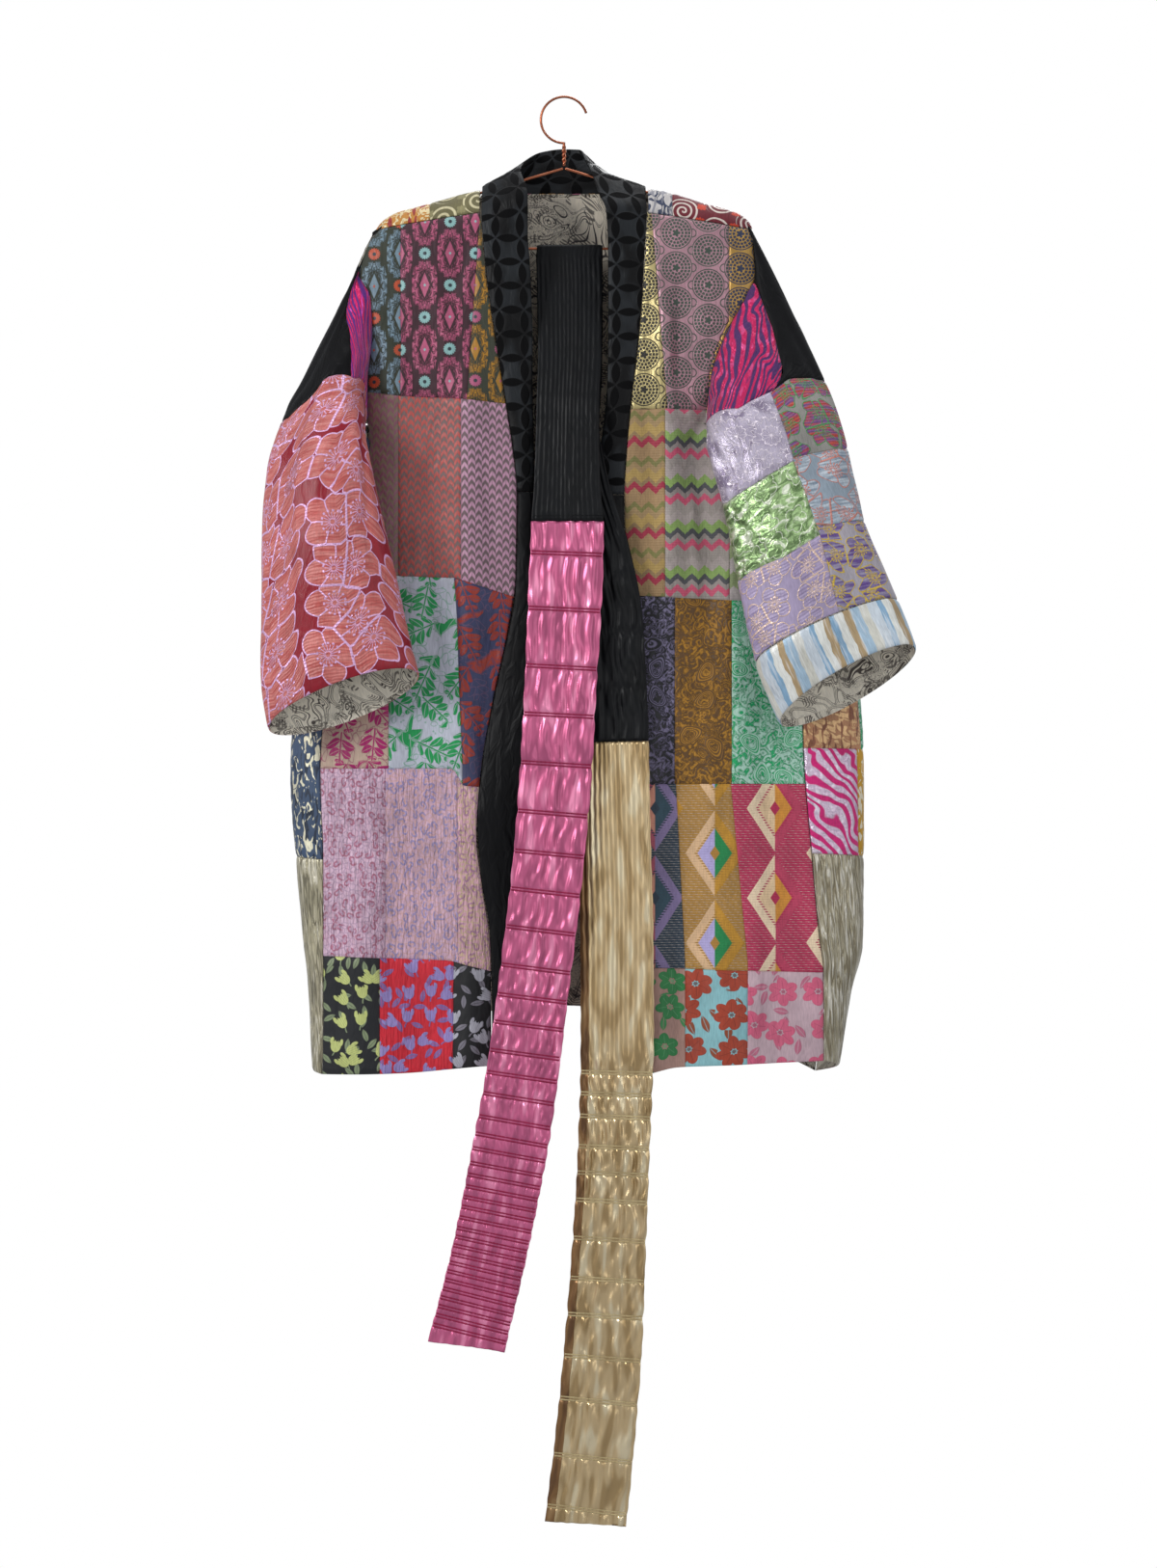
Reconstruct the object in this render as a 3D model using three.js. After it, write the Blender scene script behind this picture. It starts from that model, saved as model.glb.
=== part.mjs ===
// A patchwork kimono jacket with its sash, hanging on a wire hanger.
//
// Millimetres, +Z up. The origin is the inside of the hook's crown, where the hanger
// rests on a rail. The fronts face -Y, and +X is the wearer's left. "drop" is the
// distance below the rail, so z = -drop.
//
// The body is a stack of flattened oval sections. Fronts, side panels, yokes, back and
// back lining are cut out of that one skin, and the collar band runs along its opening.
// Each sleeve is a tube of rings that starts on the armhole and ends in the open cuff.
// The sash hangs over the hanger's bar, and both of its tails fall in front.
import * as THREE from "three";

// ---- driving dimensions ------------------------------------------------------------
const CLOTH = 1.4; // wall of one layer of brocade
const LINING = 1.1; // wall of the lining
const LINING_GAP = 1; // between the shell and its lining
const SEAM = 0.8; // left between neighbours at a seam
const BAND_OUT = 2.2; // the folded collar band stands this far out of the skin
const BAND_BACK = 1.4; // and reaches this far behind it
const BAND_ROLL = 3; // how far the band bulges across its width
const OVALNESS = 3.2; // exponent of the body's oval sections
const FRONT_HEM = 1008; // drop of the front hems, which the hem tables refine
const BACK_HEM_MIDDLE = 943; // the back hem is lifted where the hanger carries it
const BACK_HEM_SIDE = 1010;
const HEM_SIDE_X = 262; // half width at which the back hem is lowest
const UNDERARM = 335; // drop of the lowest point of the armholes
const SIDE_LAP = 4; // the side panels reach this far above the foot of the armholes
const SHOULDER_TIP = 134; // drop of the highest point of the armholes
const NECKLINE = 98; // drop of the back neckline
const NECK_HALF = 85.5; // half width of the neckline, at the band's seam
const YOKE_BEHIND = 40; // how far the yokes reach down the back
const YOKE_AT_NECK = 3; // and how far beside the neck
const YOKE_END = 189; // where the yokes meet the sleeves
const BACK_SHARE = 0.925; // share of the half width that the back panel covers
const BAND_SPLIT = 413; // drop of the seam between velvet and plain band
const CUFF_START = 0.86; // where the striped cuff is sewn on, as a share of the sleeve
const SLEEVE_LINING_START = 0.52; // the sleeve lining is only made where it shows

const WIRE = 3.2; // hanger wire diameter
const HOOK_RADIUS = 24; // to the middle of the wire
const TWIST = 73; // drop of the point where neck and arms meet
const BAR = 156; // drop of the bar
const ARM_HALF = 165; // half length of the arms, before their bends
const SEAT = 0.6; // between the arms and the shoulders that rest on them
const WIRE_GAP = 0.3; // between the lengths of wire

const SASH_WALL = 2.4; // the sash is a flat tube of shirred cloth
const SASH_WAVE = 1.3; // height of its gathers
const SASH_WAVES = 5; // gathers across its width
const SASH_SEAM = 0.4;
const PINK_START = 443; // drop of the seam above the pink end
const PINK_END = 1283;
const GOLD_START = 668; // drop of the seam above the gold end
const GOLD_END = 1466;

// ---- tables ------------------------------------------------------------------------
/** Rows of numbers under named columns. */
function table(names, rows) {
  const keys = names.split(" ");
  return rows.map((row) => Object.fromEntries(keys.map((k, i) => [k, row[i]])));
}

/** A smooth function through one column of a table that never overshoots its rows. */
function through(rows, along, name) {
  const at = rows.map((row) => row[along]);
  const value = rows.map((row) => row[name]);
  const last = rows.length - 1;
  const slope = at.slice(1).map((a, i) => (value[i + 1] - value[i]) / (a - at[i]));
  const tangent = at.map((_, i) => {
    if (i === 0) return slope[0];
    if (i === last) return slope[last - 1];
    const [before, after] = [slope[i - 1], slope[i]];
    return before * after <= 0 ? 0 : (2 * before * after) / (before + after);
  });
  return (where) => {
    const w = THREE.MathUtils.clamp(where, at[0], at[last]);
    let i = 0;
    while (i < last - 1 && w > at[i + 1]) i++;
    const step = at[i + 1] - at[i];
    const s = (w - at[i]) / step;
    const rise = s * s * (3 - 2 * s);
    const lead = s * (1 - s) * (1 - s) * step * tangent[i];
    const trail = s * s * (s - 1) * step * tangent[i + 1];
    return value[i] * (1 - rise) + value[i + 1] * rise + lead + trail;
  };
}

// The body's sections: half widths on the wearer's right and left, depth of the front
// and of the back.
const SECTIONS = table("drop right left front back", [
  [95, 84, 84, 16, 28],
  [98, 92, 101, 18, 30],
  [110, 134, 141, 22, 32],
  [123, 177, 182, 27, 33],
  [134, 192, 194, 31, 34],
  [150, 207, 205, 34, 35],
  [185, 220, 210, 37, 36],
  [205, 214, 211, 39, 36],
  [250, 211, 211, 41, 37],
  [338, 214, 214, 43, 38],
  [400, 228, 235, 44, 40],
  [500, 256, 278, 46, 42],
  [600, 275, 304, 48, 44],
  [700, 282, 309, 50, 45],
  [800, 275, 309, 50, 45],
  [877, 268, 308, 51, 46],
  [925, 263, 296, 52, 46],
  [1016, 259, 282, 53, 46],
]);
// Where each front is sewn to the collar band.
const FRONT_SEAM = table("drop right left", [
  [122, -86.1, 86.1],
  [170, -82.4, 83.4],
  [220, -76.2, 80.2],
  [270, -68.3, 75.2],
  [320, -60.4, 69.3],
  [365, -53.4, 65.3],
  [413, -48.5, 62.4],
  [500, -49.5, 64.3],
  [555, -57.4, 68.3],
  [630, -73.2, 72.3],
  [716, -87.1, 73.2],
  [770, -90.1, 73.2],
  [823, -84.1, 73.2],
  [890, -75.2, 75.2],
  [1016, -74.2, 77.2],
]);
// The band's free edge, on the neck side.
const BAND_EDGE = table("drop right left", [
  [135, -37.8, 44.8],
  [200, -33.7, 45.6],
  [260, -32.2, 45.5],
  [320, -32.2, 43.6],
  [365, -30.7, 36.6],
  [413, -30.7, 32.7],
  [500, -26.7, 29.7],
  [600, -23.8, 25.7],
  [716, -32.7, 21.8],
  [823, -28.7, 19.8],
  [1016, -19.8, 23.8],
]);
// The outer edges of the fronts: the armholes above the underarm, the side seams below.
const FRONT_EDGE = table("drop right left", [
  [122, -165.3, 165.3],
  [134, -186.1, 188],
  [160, -204.6, 195.7],
  [185, -213.2, 198.3],
  [205, -201, 190.1],
  [246, -198, 168.3],
  [292, -202.9, 151.4],
  [340, -202.9, 147.5],
  [346, -199.9, 200.9],
  [400, -210.8, 213.8],
  [500, -229.6, 233.6],
  [600, -243.5, 243.5],
  [690, -250.4, 246.5],
  [788, -247.4, 254.4],
  [877, -247.4, 262.3],
  [908, -247.4, 266.3],
  [1016, -248.4, 267.2],
]);
// Hems of the fronts, from the band to the side seam.
const FRONT_HEMS = table("x drop", [
  [-249, 1010],
  [-163, 1008],
  [-74, 1000],
  [74, 1010],
  [117, 1002],
  [267, 996],
]);
// Hanging folds of the skin. face is -1 on the fronts and 1 on the back. A fold runs
// from x "high" at drop "start" to x "low" at drop "end"; height is negative in a trough.
const FOLDS = table("face high low start end width height", [
  [-1, -150, -128, 210, 640, 22, -7],
  [-1, -95, -100, 230, 640, 16, 6],
  [-1, -185, -190, 240, 620, 18, 5],
  [-1, -66, -84, 470, 760, 16, -7],
  [-1, -160, -150, 640, 1100, 26, -9],
  [-1, -215, -215, 660, 1100, 24, 6],
  [-1, -108, -96, 640, 1100, 20, 7],
  [-1, 104, 110, 150, 560, 14, 7],
  [-1, 132, 150, 190, 620, 22, -7],
  [-1, 165, 182, 330, 760, 20, 7],
  [-1, 112, 122, 620, 1100, 20, -8],
  [-1, 168, 176, 700, 1100, 22, 6],
  [-1, 222, 232, 560, 1100, 24, -7],
  [1, -150, -185, 230, 1100, 26, 7],
  [1, -92, -118, 260, 1100, 28, -9],
  [1, -20, -46, 330, 1100, 30, 7],
  [1, 34, 30, 300, 1100, 26, -8],
  [1, 98, 112, 240, 1100, 28, 8],
  [1, 156, 192, 260, 1100, 26, -8],
]);
const FOLD_EASE = 110; // a fold grows and dies over this drop
// The neck part of the collar band, from the wearer's right front over the back of the
// neck to the left front: a is the free edge and b the sewn one.
const NECK_BAND = table("ax ay adrop bx by bdrop", [
  [-37, -35, 108, -85, -26, 121],
  [-41, -25, 89, -84.5, -15, 105],
  [-45, -8, 75, -84.5, 1, 92.8],
  [-39, 14, 63, -77, 20, 96],
  [-23, 33, 51, -44, 30, 97],
  [-2, 39, 47, -2, 32, 97],
  [15, 36, 48, 44, 30, 97],
  [22, 16, 62, 77, 20, 96],
  [28, -6, 77, 84.5, 1, 92.2],
  [36, -25, 103, 84.5, -15, 104],
  [43, -34, 120, 85.5, -26, 121],
]);
// Tube rings of the sleeves, signed for the side they are on: the outer and the inner
// point, how far forward each lies, half the depth, and how far the front of the ring
// is lifted above its back.
const RING = "share ox odrop oy ix idrop iy depth lift";
const SLEEVE_RIGHT = table(RING, [
  [0, -196, 140, 0, -205, 333, -30, 28, 0],
  [0.06, -219, 174, -4, -205, 336, -48, 28, 0],
  [0.14, -239, 229, -12, -204, 343, -64, 29, 0],
  [0.25, -261, 281, -28, -203, 356, -76, 29, 0],
  [0.38, -286, 334, -50, -198, 382, -83, 29, 0],
  [0.52, -302, 395, -70, -190, 421, -85, 29, 2],
  [0.64, -306, 462, -80, -179, 467, -86, 29, 4],
  [0.75, -306, 527, -84, -168, 516, -87, 28, 8],
  [0.87, -307, 594, -86, -157, 565, -88, 26, 14],
  [1, -300, 654, -88, -148, 601, -89, 24, 21],
]);
const SLEEVE_LEFT = table(RING, [
  [0, 196, 140, 0, 147, 334, -46, 28, 0],
  [0.06, 213, 172, -4, 147, 344, -57, 28, 0],
  [0.14, 235, 219, -12, 146, 353, -68, 29, 0],
  [0.25, 259, 277, -28, 146, 363, -78, 30, 0],
  [0.38, 281, 334, -50, 152, 389, -84, 30, 0],
  [0.52, 294, 395, -70, 163, 427, -86, 30, 2],
  [0.64, 307, 451, -80, 172, 473, -87, 30, 4],
  [0.75, 324, 492, -84, 181, 520, -88, 29, 8],
  [0.86, 339, 526, -86, 196, 587, -89, 27, 14],
  [1, 358, 575, -88, 220, 647, -90, 25, 21],
]);
const ARMHOLE_BLEND = 0.3; // the rings leave the armhole's outline over this share
const ARMHOLE_TURN = 1.3; // in half turns: where the ring reaches the back edge
const ARMHOLE_OUT = 3.3; // the sleeve seam lies just outside the body's edge
const ARMHOLE_LAG = 0.16; // behind, the rings turn inwards this much later
// Soft folds along the sleeves: where round the ring, in half turns from the outer
// point by the front, and how deep.
const SLEEVE_FOLDS = table("round width height start end", [
  [0.32, 0.09, -5, 0.2, 0.75],
  [0.62, 0.1, 4, 0.3, 0.95],
  [1.35, 0.1, -5, 0.3, 0.9],
  [1.65, 0.1, 4, 0.35, 1],
]);

// The middle lines of the sash's tails: x, how far forward, and half the width.
const FRONT_TAIL = table("drop x y half", [
  [164, 5, -4.6, 34],
  [202, 6, -18, 33.9],
  [264, 5.9, -40, 32.7],
  [325, 3.9, -57, 32.1],
  [405, 3.4, -68, 34],
  [443, 3.7, -71, 36.9],
  [507, 1.8, -75, 37.9],
  [621, -3.9, -80, 36.8],
  [696, -7.9, -82, 36.8],
  [805, -17.2, -84, 36.3],
  [915, -30.4, -85, 36.3],
  [1016, -43.6, -86, 37.3],
  [1091, -56.4, -86, 38.7],
  [1189, -76, -86, 38.7],
  [1283, -99.1, -86, 39.7],
]);
const REAR_TAIL = table("drop x y half", [
  [162, 7, 4.6, 33],
  [220, 7, -3, 33],
  [282, 7, -24, 32.3],
  [344, 5, -46, 31.5],
  [404, 13.5, -57, 32.4],
  [473, 32.6, -61, 34.5],
  [542, 44.4, -63, 36],
  [668, 50.7, -66, 36],
  [760, 52.2, -67, 36.4],
  [865, 54.2, -68, 37.4],
  [967, 54.6, -69, 37.4],
  [1092, 50.7, -70, 36.9],
  [1190, 45.8, -71, 37.9],
  [1289, 39.9, -71, 39.9],
  [1387, 31, -71, 40.8],
  [1466, 22.1, -71, 41.8],
]);
// Rows of shirring across the sash's ends, by drop, and how fast they close up.
const PINK_ROWS = { first: 475, pitch: 58, shrink: 0.9, least: 27 };
const GOLD_ROWS = { first: 700, pitch: 40, shrink: 1.05, least: 40 };

// ---- the body's skin ---------------------------------------------------------------
const halfRight = through(SECTIONS, "drop", "right");
const halfLeft = through(SECTIONS, "drop", "left");
const depthFront = through(SECTIONS, "drop", "front");
const depthBack = through(SECTIONS, "drop", "back");

/** Half the body's width at a drop, on side -1 (wearer's right) or 1 (wearer's left). */
function halfWidth(drop, side) {
  return side < 0 ? halfRight(drop) : halfLeft(drop);
}

/** How deep the oval is at x, as a share of its full depth. */
function fullness(x, drop) {
  const share = Math.min(1, Math.abs(x) / halfWidth(drop, x < 0 ? -1 : 1));
  return (1 - share ** OVALNESS) ** (1 / OVALNESS);
}

/** How far the hanging folds push the skin out of its oval. */
function foldHeight(x, drop, face) {
  let height = 0;
  for (const fold of FOLDS) {
    if (fold.face !== face) continue;
    const along = (drop - fold.start) / (fold.end - fold.start);
    const middle = THREE.MathUtils.lerp(fold.high, fold.low, along);
    const grown = THREE.MathUtils.smoothstep(drop, fold.start, fold.start + FOLD_EASE);
    const left = 1 - THREE.MathUtils.smoothstep(drop, fold.end - FOLD_EASE, fold.end);
    height += fold.height * grown * left * Math.exp(-(((x - middle) / fold.width) ** 2));
  }
  return height;
}

/** The skin's point at x on face -1 (front) or 1 (back). */
function skin(x, drop, face) {
  const depth = face < 0 ? depthFront(drop) : depthBack(drop);
  const full = fullness(x, drop);
  const y = face * (depth * full + foldHeight(x, drop, face) * full * full);
  return new THREE.Vector3(x, y, -drop);
}

/** The drop at which the skin's shoulder line passes x. */
function ridge(x) {
  const side = x < 0 ? -1 : 1;
  let [high, low] = [SECTIONS[0].drop, UNDERARM];
  for (let i = 0; i < 40; i++) {
    const middle = (high + low) / 2;
    if (halfWidth(middle, side) < Math.abs(x)) high = middle;
    else low = middle;
  }
  return low;
}

/** How far the yokes reach down the back at x. */
const yokeReach = (x) => {
  const grown = THREE.MathUtils.smoothstep(Math.abs(x), NECK_HALF, 1.7 * NECK_HALF);
  return THREE.MathUtils.lerp(YOKE_AT_NECK, YOKE_BEHIND, grown);
};
const yokeSeam = (x) => 122 + 16 * THREE.MathUtils.clamp((Math.abs(x) - 86) / 104, 0, 1);
const frontHem = through(FRONT_HEMS, "x", "drop");
const backHem = (x) => {
  const share = Math.min(1, Math.abs(x) / HEM_SIDE_X);
  return THREE.MathUtils.lerp(BACK_HEM_MIDDLE, BACK_HEM_SIDE, share * share);
};
// The panels share these rows: two lie at the foot of the armhole, and one at the seam
// between the velvet and the plain band.
const FOOT = 346;
const LEVELS = [122, 145, 172, 205, 246, 292, 340, FOOT, 381, BAND_SPLIT].concat(
  [460, 515, 570, 630, 690, 750, 810, 870, 935, FRONT_HEM],
);
const BODY_LEVELS = LEVELS.filter((level) => level >= FOOT);

/** Where a row lies on a front at x: the rows spread from the yoke's seam to the hem. */
function frontDrop(x, level) {
  const share = (level - LEVELS[0]) / (FRONT_HEM - LEVELS[0]);
  return THREE.MathUtils.lerp(yokeSeam(x), frontHem(x), share);
}

/** Where a row lies on the back at x. */
function backDrop(x, level) {
  const top = Math.abs(x) < NECK_HALF ? NECKLINE : ridge(x) + yokeReach(x) + SEAM;
  if (level < FOOT) return THREE.MathUtils.mapLinear(level, LEVELS[0], FOOT, top, FOOT);
  return THREE.MathUtils.mapLinear(level, FOOT, FRONT_HEM, FOOT, backHem(x));
}

const sideName = (side) => (side < 0 ? "right" : "left");
const seamX = { "-1": through(FRONT_SEAM, "drop", "right"), 1: through(FRONT_SEAM, "drop", "left") };
const edgeX = { "-1": through(FRONT_EDGE, "drop", "right"), 1: through(FRONT_EDGE, "drop", "left") };
const bandX = { "-1": through(BAND_EDGE, "drop", "right"), 1: through(BAND_EDGE, "drop", "left") };
const backEdge = (drop, side) => side * BACK_SHARE * halfWidth(Math.max(drop, 160), side);

// ---- walls -------------------------------------------------------------------------
/** Unit normals of a grid of points, rows down and columns to the right seen outside. */
function normalsOf(grid, ring) {
  const cols = grid[0].length;
  const pick = (row, i) => grid[row][ring ? (i + cols) % cols : THREE.MathUtils.clamp(i, 0, cols - 1)];
  return grid.map((line, j) =>
    line.map((_, i) => {
      const across = pick(j, i + 1).clone().sub(pick(j, i - 1));
      const below = grid[Math.min(j + 1, grid.length - 1)][i];
      const above = grid[Math.max(j - 1, 0)][i];
      return below.clone().sub(above).cross(across).normalize();
    }),
  );
}

/**
 * A closed wall over a grid of points. Its faces lie "out" and "back" along the normals,
 * and relief(row, column) raises the outer one. A ring closes on itself across.
 */
function wall(grid, out, back, { ring = false, relief = () => 0 } = {}) {
  const [rows, cols] = [grid.length, grid[0].length];
  const normals = normalsOf(grid, ring);
  const position = [];
  for (const face of [0, 1])
    grid.forEach((line, j) =>
      line.forEach((point, i) => {
        const off = face ? back : out + relief(j, i);
        position.push(...point.clone().addScaledVector(normals[j][i], off).toArray());
      }),
    );
  const at = (face, j, i) => face * rows * cols + j * cols + (i % cols);
  const index = [];
  const quad = (a, b, c, d) => index.push(a, b, c, a, c, d);
  const across = ring ? cols : cols - 1;
  for (let i = 0; i < across; i++) {
    for (let j = 0; j < rows - 1; j++) {
      quad(at(0, j, i), at(0, j + 1, i), at(0, j + 1, i + 1), at(0, j, i + 1));
      quad(at(1, j, i), at(1, j, i + 1), at(1, j + 1, i + 1), at(1, j + 1, i));
    }
    quad(at(0, 0, i), at(0, 0, i + 1), at(1, 0, i + 1), at(1, 0, i));
    const end = rows - 1;
    quad(at(0, end, i + 1), at(0, end, i), at(1, end, i), at(1, end, i + 1));
  }
  if (!ring)
    for (let j = 0; j < rows - 1; j++) {
      const end = cols - 1;
      quad(at(0, j + 1, 0), at(0, j, 0), at(1, j, 0), at(1, j + 1, 0));
      quad(at(0, j, end), at(0, j + 1, end), at(1, j + 1, end), at(1, j, end));
    }
  const geometry = new THREE.BufferGeometry();
  geometry.setAttribute("position", new THREE.Float32BufferAttribute(position, 3));
  geometry.setIndex(index);
  geometry.computeVertexNormals();
  return geometry;
}

/** A grid of points: make(u, v) for shares u across and v down. */
function gridOf(across, down, make) {
  return down.map((v) => across.map((u) => make(u, v)));
}

/** Shares from 0 to 1 in equal steps. */
function shares(count) {
  return Array.from({ length: count + 1 }, (_, i) => i / count);
}

const coat = new THREE.Group();

/** Adds one named piece in its own material. */
function add(name, geometry, color, roughness = 0.75, metalness = 0) {
  const material = new THREE.MeshStandardMaterial({ color, roughness, metalness });
  const mesh = new THREE.Mesh(geometry, material);
  mesh.name = name;
  coat.add(mesh);
}

// ---- body panels -------------------------------------------------------------------
/** One front, from the collar band to the armhole and side seam. */
function frontPanel(side) {
  const grid = gridOf(shares(10), LEVELS, (u, level) => {
    const x = THREE.MathUtils.lerp(seamX[side](level), edgeX[side](level), side < 0 ? 1 - u : u);
    return skin(x, frontDrop(x, level), -1);
  });
  return wall(grid, CLOTH, 0);
}

/** The oval's turning angle at x: 0 at the side fold and a quarter turn at the middle. */
function turnAt(x, drop) {
  const share = Math.min(1, Math.abs(x) / halfWidth(drop, Math.sign(x)));
  return Math.acos(share ** (OVALNESS / 2));
}

/** The skin's point at a turning angle, positive on the front and negative on the back. */
function roundSide(side, turn, drop) {
  const x = side * halfWidth(drop, side) * Math.cos(turn) ** (2 / OVALNESS);
  return skin(x, drop, turn > 0 ? -1 : 1);
}

/** One side panel, from the front's side seam round the fold to the back's. */
function sidePanel(side) {
  const grid = gridOf(shares(7), [FOOT - SIDE_LAP, ...BODY_LEVELS], (u, level) => {
    const share = side < 0 ? 1 - u : u;
    const fromX = side * Math.max(...[level, FOOT].map((l) => side * edgeX[side](l))) + side * SEAM;
    const toX = backEdge(level, side) + side * SEAM;
    const [from, to] = [frontDrop(fromX, level), backDrop(toX, level)];
    const turn = THREE.MathUtils.lerp(turnAt(fromX, from), -turnAt(toX, to), share);
    return roundSide(side, turn, THREE.MathUtils.lerp(from, to, share));
  });
  return wall(grid, CLOTH, 0);
}

// Columns of a yoke, which the back goes on with below the seam.
const YOKE_COLUMNS = shares(5).map((u) => THREE.MathUtils.lerp(NECK_HALF + 2 * SEAM, YOKE_END, u));

/** One yoke, from the front seam over the shoulder line to the back seam. */
function yoke(side) {
  const rows = [-1, -0.72, -0.45, -0.2, 0, 0.2, 0.45, 0.72, 1];
  const columns = side < 0 ? YOKE_COLUMNS : [...YOKE_COLUMNS].reverse();
  const grid = gridOf(columns, rows, (column, r) => {
    const x = side * column;
    const top = ridge(x);
    const reach = r < 0 ? yokeSeam(x) - top : yokeReach(x);
    return skin(x, top + (reach - SEAM) * r * r, r < 0 ? -1 : 1);
  });
  return wall(grid, CLOTH, 0);
}

/** The back's points. The lining has the same ones, drawn in at its top and hem. */
function backGrid(atTop = 0, atHem = 0) {
  const half = [0, NECK_HALF / 2, NECK_HALF - SEAM, ...YOKE_COLUMNS, backEdge(0, 1)];
  const columns = [...half.slice(1).reverse(), ...half.map((x) => -x)];
  const grid = gridOf(columns, LEVELS, (column, level) => {
    const side = column < 0 ? -1 : 1;
    const x = (column / backEdge(0, 1)) * Math.abs(backEdge(level, side));
    return skin(x, backDrop(x, level), 1);
  });
  const drawIn = (line, next, by) => {
    line.forEach((point, i) => point.lerp(next[i], by / point.distanceTo(next[i])));
  };
  drawIn(grid.at(-1), grid.at(-2), atHem);
  drawIn(grid[0], grid[1], atTop);
  return grid;
}

// ---- collar band -------------------------------------------------------------------
/** The band's free and sewn edge on one front at a level. */
function bandOnFront(side, level) {
  const sewn = seamX[side](level) - side * SEAM;
  const drop = frontDrop(sewn, level);
  return { free: skin(bandX[side](level), drop, -1), sewn: skin(sewn, drop, -1) };
}

/** The band as rows of points from the free to the sewn edge, bulged between them. */
function bandGrid(stations) {
  return stations.map(({ free, sewn }) =>
    shares(4).map((u) => {
      const point = free.clone().lerp(sewn, u);
      point.y -= BAND_ROLL * Math.sin(Math.PI * u) * Math.sign(-point.y - 1e-6) * 0.5;
      return point;
    }),
  );
}

/** The plain lower length of the band on one front. */
function lowerBand(side) {
  const levels = [BAND_SPLIT + SEAM, ...LEVELS.filter((level) => level > BAND_SPLIT)];
  const grid = bandGrid(levels.map((level) => bandOnFront(side, level)));
  return wall(side > 0 ? grid : grid.map((line) => line.reverse()), BAND_OUT, -BAND_BACK);
}

/** The velvet length, up one front, round the neck and down the other. */
function upperBand() {
  const neck = NECK_BAND.map((row) => ({
    free: new THREE.Vector3(row.ax, row.ay, -row.adrop),
    sewn: new THREE.Vector3(row.bx, row.by, -row.bdrop),
  }));
  const levels = LEVELS.filter((level) => level > LEVELS[0] && level <= BAND_SPLIT);
  const down = levels.map((level) => bandOnFront(1, level));
  const up = levels.map((level) => bandOnFront(-1, level)).reverse();
  return wall(bandGrid([...up, ...neck, ...down]), BAND_OUT, -BAND_BACK);
}

// ---- sleeves -----------------------------------------------------------------------
/** The armhole's outline at a turn, in half turns from the shoulder tip by the front. */
function armhole(side, turn) {
  if (turn <= 1) {
    const drop = THREE.MathUtils.lerp(SHOULDER_TIP, UNDERARM, (1 - Math.cos(Math.PI * turn)) / 2);
    return skin(edgeX[side](drop), drop, -1);
  }
  if (turn <= ARMHOLE_TURN) {
    const front = turnAt(edgeX[side](UNDERARM), UNDERARM);
    const behind = -turnAt(backEdge(UNDERARM, side), UNDERARM);
    const angle = THREE.MathUtils.mapLinear(turn, 1, ARMHOLE_TURN, front, behind);
    return roundSide(side, angle, UNDERARM);
  }
  const drop = THREE.MathUtils.mapLinear(turn, ARMHOLE_TURN, 2, UNDERARM, SHOULDER_TIP);
  const x = Math.min(Math.abs(backEdge(drop, side)), halfWidth(drop, side) - 0.5);
  return skin(side * x, drop, 1);
}

/** A sleeve's surface: sleeve(share, turn) for side -1 or 1. */
function sleeveOf(side) {
  const rings = side < 0 ? SLEEVE_RIGHT : SLEEVE_LEFT;
  const names = ["ox", "odrop", "oy", "ix", "idrop", "iy", "depth", "lift"];
  const read = Object.fromEntries(names.map((name) => [name, through(rings, "share", name)]));
  return (share, turn) => {
    const r = Object.fromEntries(names.map((name) => [name, read[name](share)]));
    const outer = new THREE.Vector3(r.ox, r.oy, -r.odrop);
    const inner = new THREE.Vector3(r.ix, r.iy, -r.idrop);
    const angle = Math.PI * turn;
    let depth = r.depth;
    for (const fold of SLEEVE_FOLDS) {
      const away = (turn - fold.round) / fold.width;
      const grown = THREE.MathUtils.smoothstep(share, fold.start, (fold.start + fold.end) / 2);
      const left = 1 - 0.6 * THREE.MathUtils.smoothstep(share, (fold.start + fold.end) / 2, fold.end);
      depth += fold.height * grown * left * Math.exp(-away * away);
    }
    const tube = outer.clone().add(inner).multiplyScalar(0.5);
    tube.addScaledVector(outer.clone().sub(inner), 0.5 * Math.cos(angle));
    tube.y -= depth * Math.sin(angle);
    tube.z += r.lift * Math.sin(angle);
    const edge = armhole(side, turn);
    edge.x += side * ARMHOLE_OUT;
    edge.y -= ARMHOLE_OUT * Math.sin(angle);
    edge.z += ARMHOLE_OUT * Math.cos(angle);
    const free = THREE.MathUtils.smoothstep(share, 0, ARMHOLE_BLEND);
    const aside = THREE.MathUtils.smoothstep(share, 0, ARMHOLE_BLEND + ARMHOLE_LAG);
    const point = edge.clone().lerp(tube, free);
    if (turn > 1) point.x = THREE.MathUtils.lerp(edge.x, tube.x, aside);
    return point;
  };
}

const SLEEVE_COLUMNS = 20;
const SLEEVE_ROWS = [
  0, 0.04, 0.09, 0.15, 0.22, 0.3, 0.39, SLEEVE_LINING_START, 0.64, 0.76, CUFF_START, 0.93, 1,
];

/** A tube along part of a sleeve, between two shares of its length. */
function sleeveTube(side, from, to, out, back) {
  const surface = sleeveOf(side);
  const turns = Array.from({ length: SLEEVE_COLUMNS }, (_, i) => (2 * i) / SLEEVE_COLUMNS);
  if (side < 0) turns.reverse();
  const inside = SLEEVE_ROWS.filter((s) => s > from + 0.005 && s < to - 0.005);
  const grid = [from, ...inside, to].map((share) => turns.map((turn) => surface(share, turn)));
  grid.forEach((line) => line.reverse());
  return wall(grid, out, back, { ring: true });
}

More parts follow.
